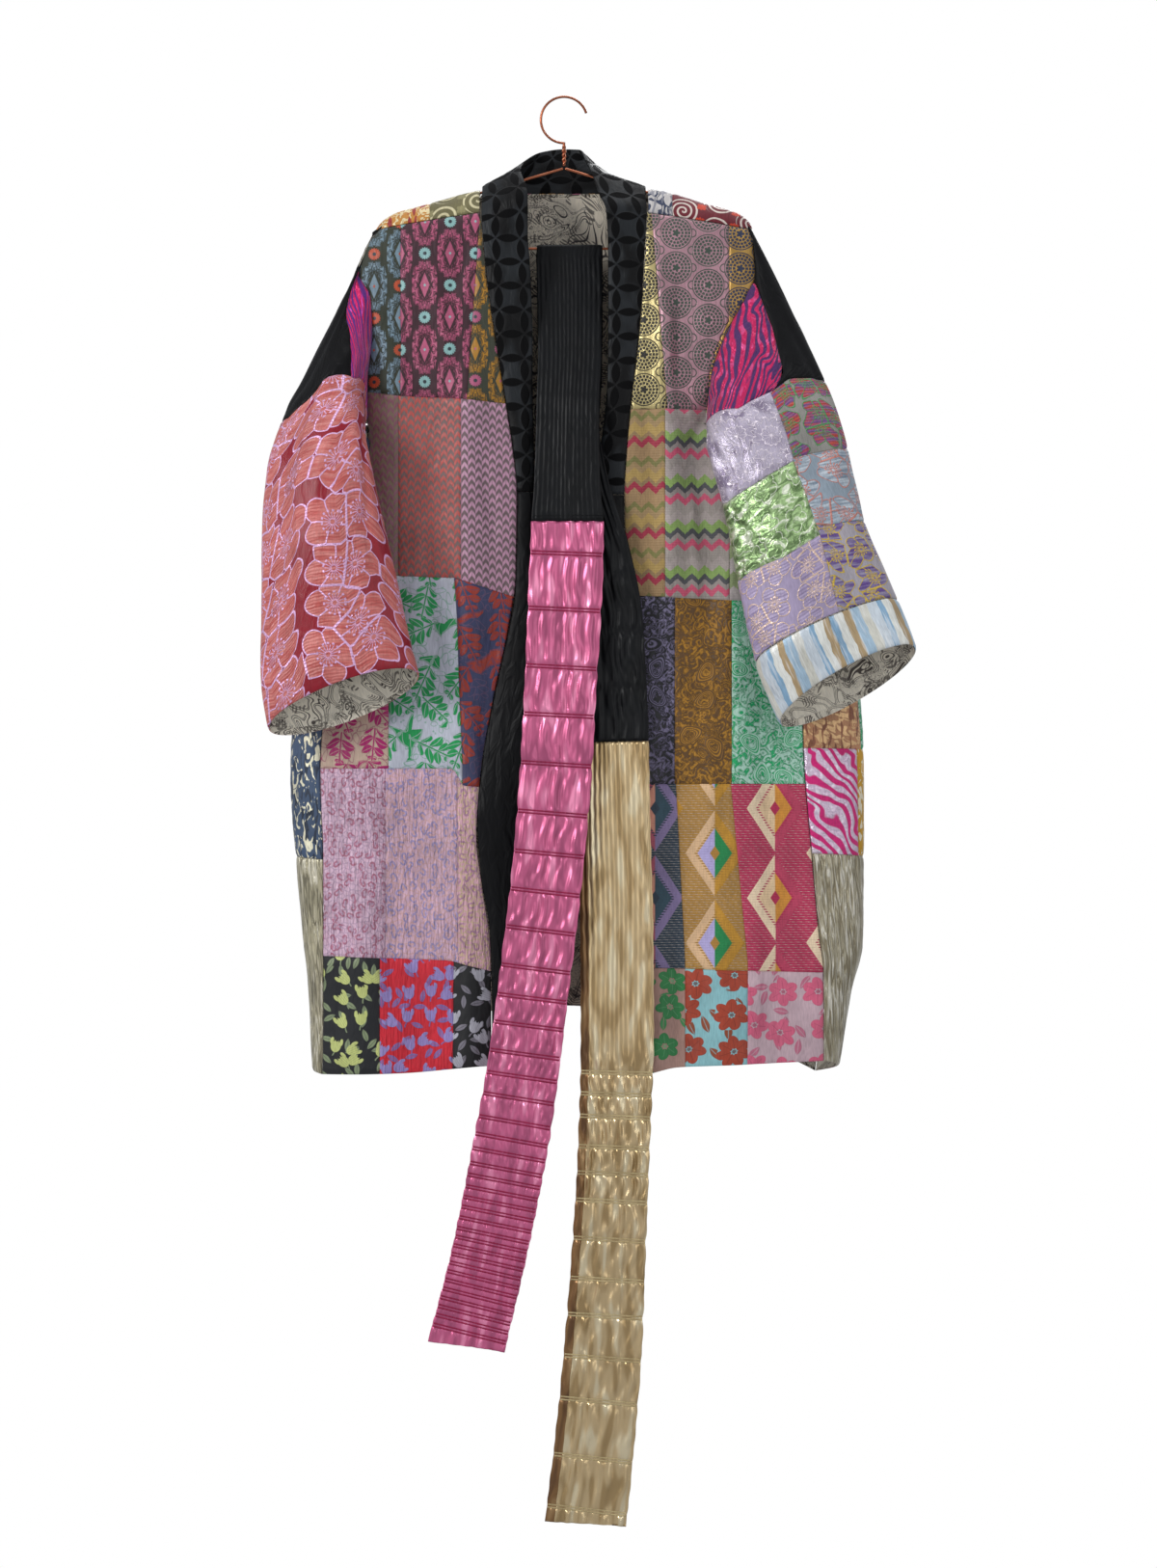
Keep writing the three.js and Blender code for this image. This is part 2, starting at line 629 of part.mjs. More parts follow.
// ---- sash --------------------------------------------------------------------------
/** Points along a tail with the direction of its width. */
function tailOf(rows) {
  const x = through(rows, "drop", "x");
  const y = through(rows, "drop", "y");
  const half = through(rows, "drop", "half");
  return (drop) => {
    const lean = (x(drop + 1) - x(drop - 1)) / 2;
    const along = new THREE.Vector3(1, 0, lean).normalize();
    return { middle: new THREE.Vector3(x(drop), y(drop), -drop), along, half: half(drop) };
  };
}

const SASH_ACROSS = shares(2 * SASH_WAVES).map((u) => 2 * u - 1);

/** A sash wall over stations, gathered between its rows of shirring. */
function sashWall(stations, flip) {
  const across = flip ? [...SASH_ACROSS].reverse() : SASH_ACROSS;
  const grid = stations.map(({ middle, along, half }) =>
    across.map((w) => middle.clone().addScaledVector(along, w * half)),
  );
  const relief = (j, i) => (i % 2 ? SASH_WAVE * stations[j].puff : 0);
  return wall(grid, SASH_WALL / 2, -SASH_WALL / 2, { relief });
}

/** Drops of the shirring rows, and halfway between them where the gathers are fullest. */
function shirred(start, end, { first, pitch, shrink, least }) {
  const rows = [{ drop: start, puff: 0.3 }];
  for (let drop = first, step = pitch; drop < end - 12; step = Math.max(least, step * shrink)) {
    rows.push({ drop: (rows.at(-1).drop + drop) / 2, puff: 1 }, { drop, puff: 0.15 });
    drop += step;
  }
  rows.push({ drop: (rows.at(-1).drop + end) / 2, puff: 1 }, { drop: end, puff: 0.3 });
  return rows;
}

/** One coloured end of the sash. */
function sashEnd(tail, start, end, rows) {
  return sashWall(shirred(start, end, rows).map(({ drop, puff }) => ({ ...tail(drop), puff })));
}

/** The black middle, from one end's seam over the bar to the other's. */
function sashMiddle() {
  const [front, rear] = [tailOf(FRONT_TAIL), tailOf(REAR_TAIL)];
  const radius = WIRE / 2 + SASH_WALL / 2 + 0.4;
  const x = (FRONT_TAIL[0].x + REAR_TAIL[0].x) / 2;
  const over = [150, 110, 70, 30].map((degrees) => {
    const turn = THREE.MathUtils.degToRad(degrees);
    const middle = new THREE.Vector3(x, radius * Math.cos(turn), -BAR + radius * Math.sin(turn));
    return { middle, along: new THREE.Vector3(1, 0, 0), half: FRONT_TAIL[0].half, puff: 0.2 };
  });
  const frontDrops = [PINK_START - SASH_SEAM, 405, 370, 335, 300, 265, 230, 200, 178, 163];
  const rearDrops = [
    163, 185, 215, 245, 275, 305, 340, 375, 410, 450, 495, 540, 585, 630, GOLD_START - SASH_SEAM,
  ];
  const puffed = (tail) => (drop, i) => ({ ...tail(drop), puff: 0.35 + 0.35 * (i % 2) });
  const behind = rearDrops.map(puffed(rear));
  const before = frontDrops.map(puffed(front));
  const stations = [...behind.reverse(), ...over.reverse(), ...before.reverse()];
  return sashWall(stations);
}

// ---- hanger ------------------------------------------------------------------------
/** A length of wire along a curve. */
function wire(curve, steps) {
  const round = new THREE.Shape().absarc(0, 0, WIRE / 2, 0, 2 * Math.PI);
  const options = { extrudePath: curve, steps, curveSegments: 5, bevelEnabled: false };
  return new THREE.ExtrudeGeometry(round, options);
}

/** The hook: up from the twist, round over the rail, and open on the wearer's left. */
function hook() {
  const centre = -HOOK_RADIUS + WIRE / 2;
  const arc = Array.from({ length: 15 }, (_, i) => {
    const turn = THREE.MathUtils.degToRad(262 - i * 17.5);
    return new THREE.Vector3(HOOK_RADIUS * Math.cos(turn), 0, centre + HOOK_RADIUS * Math.sin(turn));
  });
  const neck = [-TWIST + WIRE / 2 + 2 * WIRE_GAP, -TWIST + 14].map((z) => new THREE.Vector3(0, 0, z));
  return wire(new THREE.CatmullRomCurve3([...neck, ...arc], false, "centripetal"), 34);
}

/** One arm, just under the shoulder line, with the bend that brings it back to the bar. */
function arm(side) {
  const start = side < 0 ? -0.05 : 4 * WIRE_GAP;
  const under = (x) => ridge(side * x) + WIRE / 2 + SEAT;
  const seated = [NECK_HALF + 2, 105, 125, 145, ARM_HALF].map((x) => [x, under(x)]);
  const radius = (BAR - under(ARM_HALF)) / 2;
  const bend = [26, 4, -22, -50, -85].map((degrees) => {
    const turn = THREE.MathUtils.degToRad(degrees);
    return [ARM_HALF + radius * Math.cos(turn), BAR - radius - radius * Math.sin(turn)];
  });
  const points = [[start, TWIST], ...seated, ...bend];
  const line = points.map(([x, drop]) => new THREE.Vector3(side * x, 0, -drop));
  return wire(new THREE.CatmullRomCurve3(line, false, "centripetal"), 22);
}

/** The straight bar between the arms' bends. */
function bar() {
  const half = ARM_HALF + 0.6;
  const line = new THREE.LineCurve3(new THREE.Vector3(-half, 0, -BAR), new THREE.Vector3(half, 0, -BAR));
  return wire(line, 1);
}

// ---- the pieces --------------------------------------------------------------------
const COPPER = 0xb8694a;
add("hanger_hook", hook(), COPPER, 0.3, 0.9);
add("hanger_arm_right", arm(-1), COPPER, 0.3, 0.9);
add("hanger_arm_left", arm(1), COPPER, 0.3, 0.9);
add("hanger_bar", bar(), COPPER, 0.3, 0.9);

for (const side of [-1, 1]) {
  add("front_" + sideName(side), frontPanel(side), side < 0 ? 0x8d5560 : 0x8a7a55);
  add("side_panel_" + sideName(side), sidePanel(side), side < 0 ? 0x55657c : 0xb9467c);
  add("shoulder_yoke_" + sideName(side), yoke(side), side < 0 ? 0x8d7c4d : 0x6d2733);
  add("collar_band_lower_" + sideName(side), lowerBand(side), 0x17181c, 0.5);
}
add("collar_band_upper", upperBand(), 0x111216, 0.8);
add("back", wall(backGrid(), CLOTH, 0), 0x8a6a5c);
add("back_lining", wall(backGrid(2.5, 9), -LINING_GAP, -LINING_GAP - LINING), 0xa99a80, 0.6);

add("sleeve_right", sleeveTube(-1, 0, 1, CLOTH, 0), 0xc9625c, 0.45);
add("sleeve_left", sleeveTube(1, 0, CUFF_START - 0.004, CLOTH, 0), 0xa697b4, 0.35);
add("cuff_left", sleeveTube(1, CUFF_START, 1, CLOTH, 0), 0xb9c6d2, 0.4);
for (const side of [-1, 1]) {
  const lining = sleeveTube(side, SLEEVE_LINING_START, 0.985, -LINING_GAP, -LINING_GAP - LINING);
  add("sleeve_lining_" + sideName(side), lining, 0xa99a80, 0.6);
}

add("sash_middle", sashMiddle(), 0x1b1c20, 0.5);
add("sash_end_pink", sashEnd(tailOf(FRONT_TAIL), PINK_START, PINK_END, PINK_ROWS), 0xd9598c, 0.35, 0.2);
add("sash_end_gold", sashEnd(tailOf(REAR_TAIL), GOLD_START, GOLD_END, GOLD_ROWS), 0xb09a63, 0.3, 0.6);

export default coat;
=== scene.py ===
"""A patchwork kimono jacket with its sash on a wire hanger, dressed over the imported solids.

Lengths are millimetres until a mesh is made, and a mesh is in metres. "drop" is the
distance below the rail, so z = -drop. The fronts face -Y, and +X is the wearer's left.
"""
import math

import bpy
import numpy as np
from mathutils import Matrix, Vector


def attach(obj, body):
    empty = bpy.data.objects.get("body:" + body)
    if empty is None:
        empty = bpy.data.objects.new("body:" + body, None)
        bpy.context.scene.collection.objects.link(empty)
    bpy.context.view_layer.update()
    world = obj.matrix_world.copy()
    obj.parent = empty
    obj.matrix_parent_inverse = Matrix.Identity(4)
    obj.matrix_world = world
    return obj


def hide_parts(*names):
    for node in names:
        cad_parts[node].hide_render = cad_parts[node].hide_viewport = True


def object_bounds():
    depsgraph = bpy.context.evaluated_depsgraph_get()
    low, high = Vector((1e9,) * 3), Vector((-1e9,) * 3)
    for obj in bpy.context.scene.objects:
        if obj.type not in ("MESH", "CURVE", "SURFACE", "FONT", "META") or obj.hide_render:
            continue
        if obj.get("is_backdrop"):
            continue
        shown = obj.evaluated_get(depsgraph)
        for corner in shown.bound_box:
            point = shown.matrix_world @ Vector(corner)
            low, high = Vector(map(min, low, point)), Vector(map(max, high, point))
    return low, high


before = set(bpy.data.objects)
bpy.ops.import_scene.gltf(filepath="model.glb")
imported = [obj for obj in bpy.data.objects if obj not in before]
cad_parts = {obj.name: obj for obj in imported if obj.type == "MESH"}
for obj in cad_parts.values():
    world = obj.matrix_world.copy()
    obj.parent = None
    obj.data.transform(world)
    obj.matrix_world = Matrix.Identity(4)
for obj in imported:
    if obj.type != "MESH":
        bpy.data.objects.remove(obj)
cad_low, cad_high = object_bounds()

# ---- driving dimensions, as in the solids ------------------------------------------------
CLOTH, LINING, LINING_GAP, SEAM = 1.4, 1.1, 1.0, 0.8
BAND_OUT, BAND_BACK, BAND_ROLL = 2.2, 1.4, 3.0
OVALNESS = 3.2
FRONT_HEM, BACK_HEM_MIDDLE, BACK_HEM_SIDE, HEM_SIDE_X = 1008, 943, 1010, 262
YOKE_LEVEL, FOOT, UNDERARM, SHOULDER_TIP, NECK_HALF = 122, 346, 335, 134, 85.5
YOKE_BEHIND, YOKE_AT_NECK, BACK_SHARE, BAND_SPLIT = 40, 3, 0.925, 413
YOKE_FALL, YOKE_FALL_START, YOKE_FALL_WIDTH = 16, 86, 104  # how the yokes' front seams fall outward
YOKE_OUTER = 194.3  # how far out the yokes reach, at the sleeves
SIDE_TOP = 332.5  # where the side panels start, in the underarm
NECK_TOP = 95.4  # where the back starts, under the band
BACK_EDGE_TOP = 160  # above it the back's edge goes straight up
CUFF_START, SLEEVE_LINING_START = 0.86, 0.52
ARMHOLE_BLEND, ARMHOLE_TURN, ARMHOLE_OUT, ARMHOLE_LAG = 0.3, 1.3, 0.8, 0.16
WIRE, HOOK_RADIUS, TWIST, BAR, ARM_HALF, SEAT = 3.2, 24, 73, 156, 165, 0.6
SASH_WALL, PINK_START, PINK_END, GOLD_START, GOLD_END = 2.4, 443, 1283, 668, 1466
SASH_SEAM, FOLD_EASE = 0.4, 110
BEND_DROP = 164  # where the sash's tails leave the bend over the bar
BEND_COUNTS_AS = 160  # the bend's drop for its gathers
FRONT_CREASING, BACK_CREASING = 1.6, 1.1  # how much of each crease's height is used
SLEEVE_OVER_BACK = 2.8  # how far the sleeves' rear edges stand over the back


def table(names, rows):
    """Columns of numbers by name."""
    return dict(zip(names.split(), np.array(rows, float).T))


def through(rows, along, name):
    """A smooth function through one column of a table that never overshoots its rows."""
    at, value = rows[along], rows[name]
    slope = np.diff(value) / np.diff(at)
    tangent = np.concatenate([slope[:1], np.zeros(len(at) - 2), slope[-1:]])
    before, after = slope[:-1], slope[1:]
    same = before * after > 0
    tangent[1:-1] = np.where(same, 2 * before * after / np.where(same, before + after, 1), 0)

    def read(where):
        w = np.clip(where, at[0], at[-1])
        i = np.clip(np.searchsorted(at, w, side="right") - 1, 0, len(at) - 2)
        step = at[i + 1] - at[i]
        s = (w - at[i]) / step
        rise = s * s * (3 - 2 * s)
        lead, trail = s * (1 - s) ** 2 * step * tangent[i], s * s * (s - 1) * step * tangent[i + 1]
        return value[i] * (1 - rise) + value[i + 1] * rise + lead + trail

    return read


SECTIONS = table("drop right left front back", [
    [95, 84, 84, 16, 28], [98, 92, 101, 18, 30], [110, 134, 141, 22, 32], [123, 177, 182, 27, 33],
    [134, 192, 194, 31, 34], [150, 207, 205, 34, 35], [185, 220, 210, 37, 36], [205, 214, 211, 39, 36],
    [250, 211, 211, 41, 37], [338, 214, 214, 43, 38], [400, 228, 235, 44, 40], [500, 256, 278, 46, 42],
    [600, 275, 304, 48, 44], [700, 282, 309, 50, 45], [800, 275, 309, 50, 45], [877, 268, 308, 51, 46],
    [925, 263, 296, 52, 46], [1016, 259, 282, 53, 46],
])
FRONT_SEAM = table("drop right left", [
    [122, -86.1, 86.1], [170, -82.4, 83.4], [220, -76.2, 80.2], [270, -68.3, 75.2], [320, -60.4, 69.3],
    [365, -53.4, 65.3], [413, -48.5, 62.4], [500, -49.5, 64.3], [555, -57.4, 68.3], [630, -73.2, 72.3],
    [716, -87.1, 73.2], [770, -90.1, 73.2], [823, -84.1, 73.2], [890, -75.2, 75.2], [1016, -74.2, 77.2],
])
BAND_EDGE = table("drop right left", [
    [135, -37.8, 44.8], [200, -33.7, 45.6], [260, -32.2, 45.5], [320, -32.2, 43.6], [365, -30.7, 36.6],
    [413, -30.7, 32.7], [500, -26.7, 29.7], [600, -23.8, 25.7], [716, -32.7, 21.8], [823, -28.7, 19.8],
    [1016, -19.8, 23.8],
])
FRONT_EDGE = table("drop right left", [
    [122, -165.3, 165.3], [134, -186.1, 188], [160, -204.6, 195.7], [185, -213.2, 198.3],
    [205, -201, 190.1], [246, -198, 168.3], [292, -202.9, 151.4], [340, -202.9, 147.5],
    [346, -199.9, 200.9], [400, -210.8, 213.8], [500, -229.6, 233.6], [600, -243.5, 243.5],
    [690, -250.4, 246.5], [788, -247.4, 254.4], [877, -247.4, 262.3], [908, -247.4, 266.3],
    [1016, -248.4, 267.2],
])
FRONT_HEMS = table("x drop", [
    [-249, 1010], [-163, 1008], [-74, 1000], [74, 1010], [117, 1002], [267, 996],
])
# Hanging folds of the skin, the same as in the solids: face, x at the fold's top and at its
# foot, drops of the top and of the foot, width, height.
FOLDS = [
    [-1, -150, -128, 210, 640, 22, -7], [-1, -95, -100, 230, 640, 16, 6], [-1, -185, -190, 240, 620, 18, 5],
    [-1, -66, -84, 470, 760, 16, -7], [-1, -160, -150, 640, 1100, 26, -9],
    [-1, -215, -215, 660, 1100, 24, 6],
    [-1, -108, -96, 640, 1100, 20, 7], [-1, 104, 110, 150, 560, 14, 7], [-1, 132, 150, 190, 620, 22, -7],
    [-1, 165, 182, 330, 760, 20, 7], [-1, 112, 122, 620, 1100, 20, -8], [-1, 168, 176, 700, 1100, 22, 6],
    [-1, 222, 232, 560, 1100, 24, -7], [1, -150, -185, 230, 1100, 26, 7], [1, -92, -118, 260, 1100, 28, -9],
    [1, -20, -46, 330, 1100, 30, 7], [1, 34, 30, 300, 1100, 26, -8], [1, 98, 112, 240, 1100, 28, 8],
    [1, 156, 192, 260, 1100, 26, -8],
]
# Finer creases: straight soft troughs and ridges from one point of the skin to another.
# face, x and drop of both ends, width, height.
CREASES = [
    [-1, -95, 140, -128, 232, 7, -1.6], [-1, -140, 150, -118, 300, 8, 1.5],
    [-1, -190, 215, -150, 300, 8, -2.2],
    [-1, -200, 300, -140, 372, 9, -2.4], [-1, -172, 330, -112, 420, 8, 1.8],
    [-1, -90, 330, -70, 500, 7, -1.8],
    [-1, -150, 420, -158, 560, 8, 1.6], [-1, -122, 470, -110, 640, 7, -1.8],
    [-1, -190, 470, -170, 640, 9, -1.7],
    [-1, -100, 600, -92, 760, 7, 1.8], [-1, -140, 640, -128, 830, 8, -1.7],
    [-1, -205, 690, -196, 890, 9, 1.8],
    [-1, -176, 760, -182, 985, 8, -1.9], [-1, -118, 800, -108, 1000, 7, -1.8],
    [-1, -226, 800, -232, 1000, 8, -1.6],
    [-1, 92, 140, 104, 300, 6, 1.6], [-1, 120, 150, 112, 330, 7, -1.9], [-1, 152, 170, 132, 300, 8, 1.5],
    [-1, 158, 290, 122, 380, 8, -2.2], [-1, 84, 300, 92, 505, 6, -1.7], [-1, 128, 390, 136, 560, 7, 1.7],
    [-1, 178, 380, 150, 520, 9, -2.1], [-1, 200, 460, 205, 640, 9, 1.8], [-1, 100, 560, 104, 735, 7, -1.6],
    [-1, 148, 600, 152, 800, 8, 1.7], [-1, 205, 640, 214, 860, 9, -1.9], [-1, 136, 800, 142, 1000, 7, -1.8],
    [-1, 190, 820, 196, 1000, 8, 1.8], [-1, 240, 800, 248, 990, 8, -1.6], [-1, 95, 850, 98, 1000, 6, 1.4],
    [1, -170, 190, -130, 330, 9, -2], [1, 168, 200, 128, 340, 9, -2], [1, -60, 150, -64, 420, 9, 1.6],
    [1, 62, 160, 58, 400, 9, -1.7], [1, 6, 140, 0, 330, 8, 1.5], [1, -130, 420, -142, 700, 10, 1.8],
    [1, 140, 430, 152, 720, 10, 1.7], [1, -200, 520, -220, 880, 10, -2], [1, 205, 500, 230, 860, 10, -1.9],
    [1, 74, 560, 80, 900, 9, 1.8], [1, -66, 600, -78, 920, 9, -1.6], [1, 8, 640, 2, 930, 9, 1.8],
]
NECK_BAND = table("ax ay adrop bx by bdrop", [
    [-37, -35, 108, -85, -26, 121], [-41, -25, 89, -84.5, -15, 105], [-45, -8, 75, -84.5, 1, 92.8],
    [-39, 14, 63, -77, 20, 96], [-23, 33, 51, -44, 30, 97], [-2, 39, 47, -2, 32, 97],
    [15, 36, 48, 44, 30, 97], [22, 16, 62, 77, 20, 96], [28, -6, 77, 84.5, 1, 92.2],
    [36, -25, 103, 84.5, -15, 104], [43, -34, 120, 85.5, -26, 121],
])
RING = "share ox odrop oy ix idrop iy depth lift"
SLEEVES = {
    -1: table(RING, [
        [0, -196, 140, 0, -205, 333, -30, 28, 0], [0.06, -219, 174, -4, -205, 336, -48, 28, 0],
        [0.14, -239, 229, -12, -204, 343, -64, 29, 0], [0.25, -261, 281, -28, -203, 356, -76, 29, 0],
        [0.38, -286, 334, -50, -198, 382, -83, 29, 0], [0.52, -302, 395, -70, -190, 421, -85, 29, 2],
        [0.64, -306, 462, -80, -179, 467, -86, 29, 4], [0.75, -306, 527, -84, -168, 516, -87, 28, 8],
        [0.87, -307, 594, -86, -157, 565, -88, 26, 14], [1, -300, 654, -88, -148, 601, -89, 24, 21],
    ]),
    1: table(RING, [
        [0, 196, 140, 0, 147, 334, -46, 28, 0], [0.06, 213, 172, -4, 147, 344, -57, 28, 0],
        [0.14, 235, 219, -12, 146, 353, -68, 29, 0], [0.25, 259, 277, -28, 146, 363, -78, 30, 0],
        [0.38, 281, 334, -50, 152, 389, -84, 30, 0], [0.52, 294, 395, -70, 163, 427, -86, 30, 2],
        [0.64, 307, 451, -80, 172, 473, -87, 30, 4], [0.75, 324, 492, -84, 181, 520, -88, 29, 8],
        [0.86, 339, 526, -86, 196, 587, -89, 27, 14], [1, 358, 575, -88, 220, 647, -90, 25, 21],
    ]),
}
# Folds along the sleeves: where round the ring and how wide, both in half turns, height in mm,
# and the shares at which the fold starts and ends.
SLEEVE_FOLDS = [
    [0.32, 0.09, -5, 0.2, 0.75], [0.62, 0.1, 4, 0.3, 0.95], [1.35, 0.1, -5, 0.3, 0.9],
    [1.65, 0.1, 4, 0.35, 1],
]
# Finer creases on the sleeves: share and turn of both ends, width in mm, height in mm.
SLEEVE_CREASES = {
    -1: [
        [0.03, 0.9, 0.3, 0.5, 8, -2.6], [0.05, 0.7, 0.34, 0.25, 8, 2.2], [0.12, 0.98, 0.5, 0.8, 9, -2.6],
        [0.3, 0.6, 0.62, 0.45, 10, 2.2], [0.4, 0.85, 0.8, 0.72, 9, -2.2], [0.52, 0.3, 0.9, 0.22, 9, -2],
        [0.1, 0.3, 0.4, 0.1, 9, -1.8], [0.62, 0.6, 0.96, 0.55, 8, 1.8], [0.1, 1.2, 0.5, 1.5, 10, -2.4],
        [0.4, 1.3, 0.9, 1.4, 10, 2], [0.2, 1.8, 0.7, 1.7, 10, -2.2],
    ],
    1: [
        [0.04, 0.85, 0.3, 0.55, 8, -2.4], [0.06, 0.6, 0.4, 0.2, 8, 2], [0.14, 0.98, 0.55, 0.75, 9, -2.6],
        [0.28, 0.7, 0.6, 0.55, 9, 2], [0.42, 0.5, 0.72, 0.3, 9, -2.2], [0.5, 0.88, 0.84, 0.7, 9, -2.2],
        [0.55, 0.2, 0.84, 0.12, 9, 1.8], [0.16, 0.25, 0.4, 0.06, 8, -1.8], [0.1, 1.2, 0.5, 1.5, 10, -2.4],
        [0.4, 1.3, 0.84, 1.4, 10, 2], [0.2, 1.8, 0.7, 1.7, 10, -2.2],
    ],
}
FRONT_TAIL = table("drop x y half", [
    [164, 5, -4.6, 34], [202, 6, -18, 33.9], [264, 5.9, -40, 32.7], [325, 3.9, -57, 32.1],
    [405, 3.4, -68, 34], [443, 3.7, -71, 36.9], [507, 1.8, -75, 37.9], [621, -3.9, -80, 36.8],
    [696, -7.9, -82, 36.8], [805, -17.2, -84, 36.3], [915, -30.4, -85, 36.3], [1016, -43.6, -86, 37.3],
    [1091, -56.4, -86, 38.7], [1189, -76, -86, 38.7], [1283, -99.1, -86, 39.7],
])
REAR_TAIL = table("drop x y half", [
    [162, 7, 4.6, 33], [220, 7, -3, 33], [282, 7, -24, 32.3], [344, 5, -46, 31.5], [404, 13.5, -57, 32.4],
    [473, 32.6, -61, 34.5], [542, 44.4, -63, 36], [668, 50.7, -66, 36], [760, 52.2, -67, 36.4],
    [865, 54.2, -68, 37.4], [967, 54.6, -69, 37.4], [1092, 50.7, -70, 36.9], [1190, 45.8, -71, 37.9],
    [1289, 39.9, -71, 39.9], [1387, 31, -71, 40.8], [1466, 22.1, -71, 41.8],
])
# Drops of the double rows of stitching that gather the sash's ends.
PINK_ROWS = [
    476, 533, 592, 641, 691, 741, 782, 821, 860, 899, 929, 957, 986, 1009, 1031, 1055, 1073, 1088,
    1103, 1115, 1127, 1138, 1148, 1159, 1170, 1179, 1188, 1197, 1206, 1215, 1224, 1233, 1242, 1251,
    1260, 1270,
]
GOLD_ROWS = [1006, 1028, 1051, 1082, 1109, 1137, 1176, 1217, 1254, 1297, 1341, 1399, 1452]


# ---- small helpers -----------------------------------------------------------------------
FULL_TURN = 6.2832
ANY_TURN = 6.28  # turns a motif any way round by its random number


def lerp(a, b, t):
    """The value at share t of the way from a to b."""
    return a + (b - a) * t


def smooth(w, low, high):
    """0 up to low, 1 from high on, and a soft step between them."""
    s = np.clip((w - low) / (high - low), 0, 1)
    return s * s * (3 - 2 * s)


def stack(x, y, z):
    """Points out of their broadcast coordinates."""
    return np.stack(np.broadcast_arrays(x, y, z), -1).astype(float)


def steady(value):
    """A border that stays at one value."""
    return lambda other: np.full(np.shape(other), float(value))


def border(*points):
    """A border through (where, value) points, straight between them and level beyond."""
    at, value = np.array(points, float).T
    return lambda other: np.interp(other, at, value)


# ---- the body's skin ---------------------------------------------------------------------
half_right, half_left = through(SECTIONS, "drop", "right"), through(SECTIONS, "drop", "left")
depth_front, depth_back = through(SECTIONS, "drop", "front"), through(SECTIONS, "drop", "back")
front_hem = through(FRONT_HEMS, "x", "drop")
seam_x = {-1: through(FRONT_SEAM, "drop", "right"), 1: through(FRONT_SEAM, "drop", "left")}
edge_x = {-1: through(FRONT_EDGE, "drop", "right"), 1: through(FRONT_EDGE, "drop", "left")}
band_x = {-1: through(BAND_EDGE, "drop", "right"), 1: through(BAND_EDGE, "drop", "left")}


def half_width(drop, side):
    """The skin's half width at a drop, on one side (-1 is the right)."""
    return np.where(np.asarray(side) < 0, half_right(drop), half_left(drop))


def skin(x, drop, face):
    """The skin's points at x on face -1 (front) or 1 (back)."""
    x, drop, face = np.broadcast_arrays(x, drop, face)
    share = np.minimum(1, np.abs(x) / half_width(drop, x))
    full = (1 - share**OVALNESS) ** (1 / OVALNESS)
    height = np.zeros(x.shape)
    for side, high, low, start, end, width, fold in FOLDS:
        middle = lerp(high, low, (drop - start) / (end - start))
        grown = smooth(drop, start, start + FOLD_EASE) * (1 - smooth(drop, end - FOLD_EASE, end))
        height += np.where(face == side, fold * grown * np.exp(-(((x - middle) / width) ** 2)), 0)
    depth = np.where(face < 0, depth_front(drop), depth_back(drop))
    return stack(x, face * (depth * full + height * full * full), -drop)


def ridge(x):
    """The drop at which the skin's shoulder line passes x."""
    x = np.asarray(x, float)
    high, low = np.full(x.shape, 95.0), np.full(x.shape, float(UNDERARM))
    for _ in range(36):
        middle = (high + low) / 2
        inside = half_width(middle, x) < np.abs(x)
        high, low = np.where(inside, middle, high), np.where(inside, low, middle)
    return low


def yoke_reach(x):
    """How far a yoke reaches down behind the shoulder line."""
    return lerp(YOKE_AT_NECK, YOKE_BEHIND, smooth(np.abs(x), NECK_HALF, 1.7 * NECK_HALF))


def yoke_seam(x):
    """The drop of the seam between a yoke and its front."""
    return YOKE_LEVEL + YOKE_FALL * np.clip((np.abs(x) - YOKE_FALL_START) / YOKE_FALL_WIDTH, 0, 1)


def back_hem(x):
    """The drop of the back's hem."""
    return lerp(BACK_HEM_MIDDLE, BACK_HEM_SIDE, np.minimum(1, np.abs(x) / HEM_SIDE_X) ** 2)


def front_drop(x, level):
    """The drop at which a front's level lies. Levels run from the yoke's seam to the hem."""
    return lerp(yoke_seam(x), front_hem(x), (level - YOKE_LEVEL) / (FRONT_HEM - YOKE_LEVEL))


def level_at(x, drop):
    """The level of a front that lies at a drop."""
    share = (drop - yoke_seam(x)) / (front_hem(x) - yoke_seam(x))
    return YOKE_LEVEL + share * (FRONT_HEM - YOKE_LEVEL)


def back_drop(x, level):
    """The drop at which the back's level lies."""
    top = np.where(np.abs(x) < NECK_HALF, NECK_TOP, ridge(x) + yoke_reach(x) + SEAM)
    high = top + (level - YOKE_LEVEL) / (FOOT - YOKE_LEVEL) * (FOOT - top)
    low = FOOT + (level - FOOT) / (FRONT_HEM - FOOT) * (back_hem(x) - FOOT)
    return np.where(level < FOOT, high, low)


def back_edge(drop, side):
    """Where the back meets a side panel."""
    return side * BACK_SHARE * half_width(np.maximum(drop, BACK_EDGE_TOP), side)


def turn_at(x, drop):
    """How far round its side the skin has turned at x, as an angle."""
    share = np.minimum(1, np.abs(x) / half_width(drop, x))
    return np.arccos(share ** (OVALNESS / 2))


def round_side(side, turn, drop):
    """The skin's points round a side. A turn above zero is at the front."""
    x = side * half_width(drop, side) * np.cos(turn) ** (2 / OVALNESS)
    return skin(x, drop, np.where(turn > 0, -1, 1))


def front_surface(x, level):
    """A front's points by x and level."""
    return skin(x, front_drop(x, level), -1)


def side_surface(side):
    """Share 0 to 1 round a side panel, by level."""

    def surface(share, level):
        from_x = side * np.maximum(side * edge_x[side](level), side * edge_x[side](FOOT)) + side * SEAM
        to_x = back_edge(level, side) + side * SEAM
        start, end = front_drop(from_x, level), back_drop(to_x, level)
        turn = lerp(turn_at(from_x, start), -turn_at(to_x, end), share)
        return round_side(side, turn, lerp(start, end, share))

    return surface


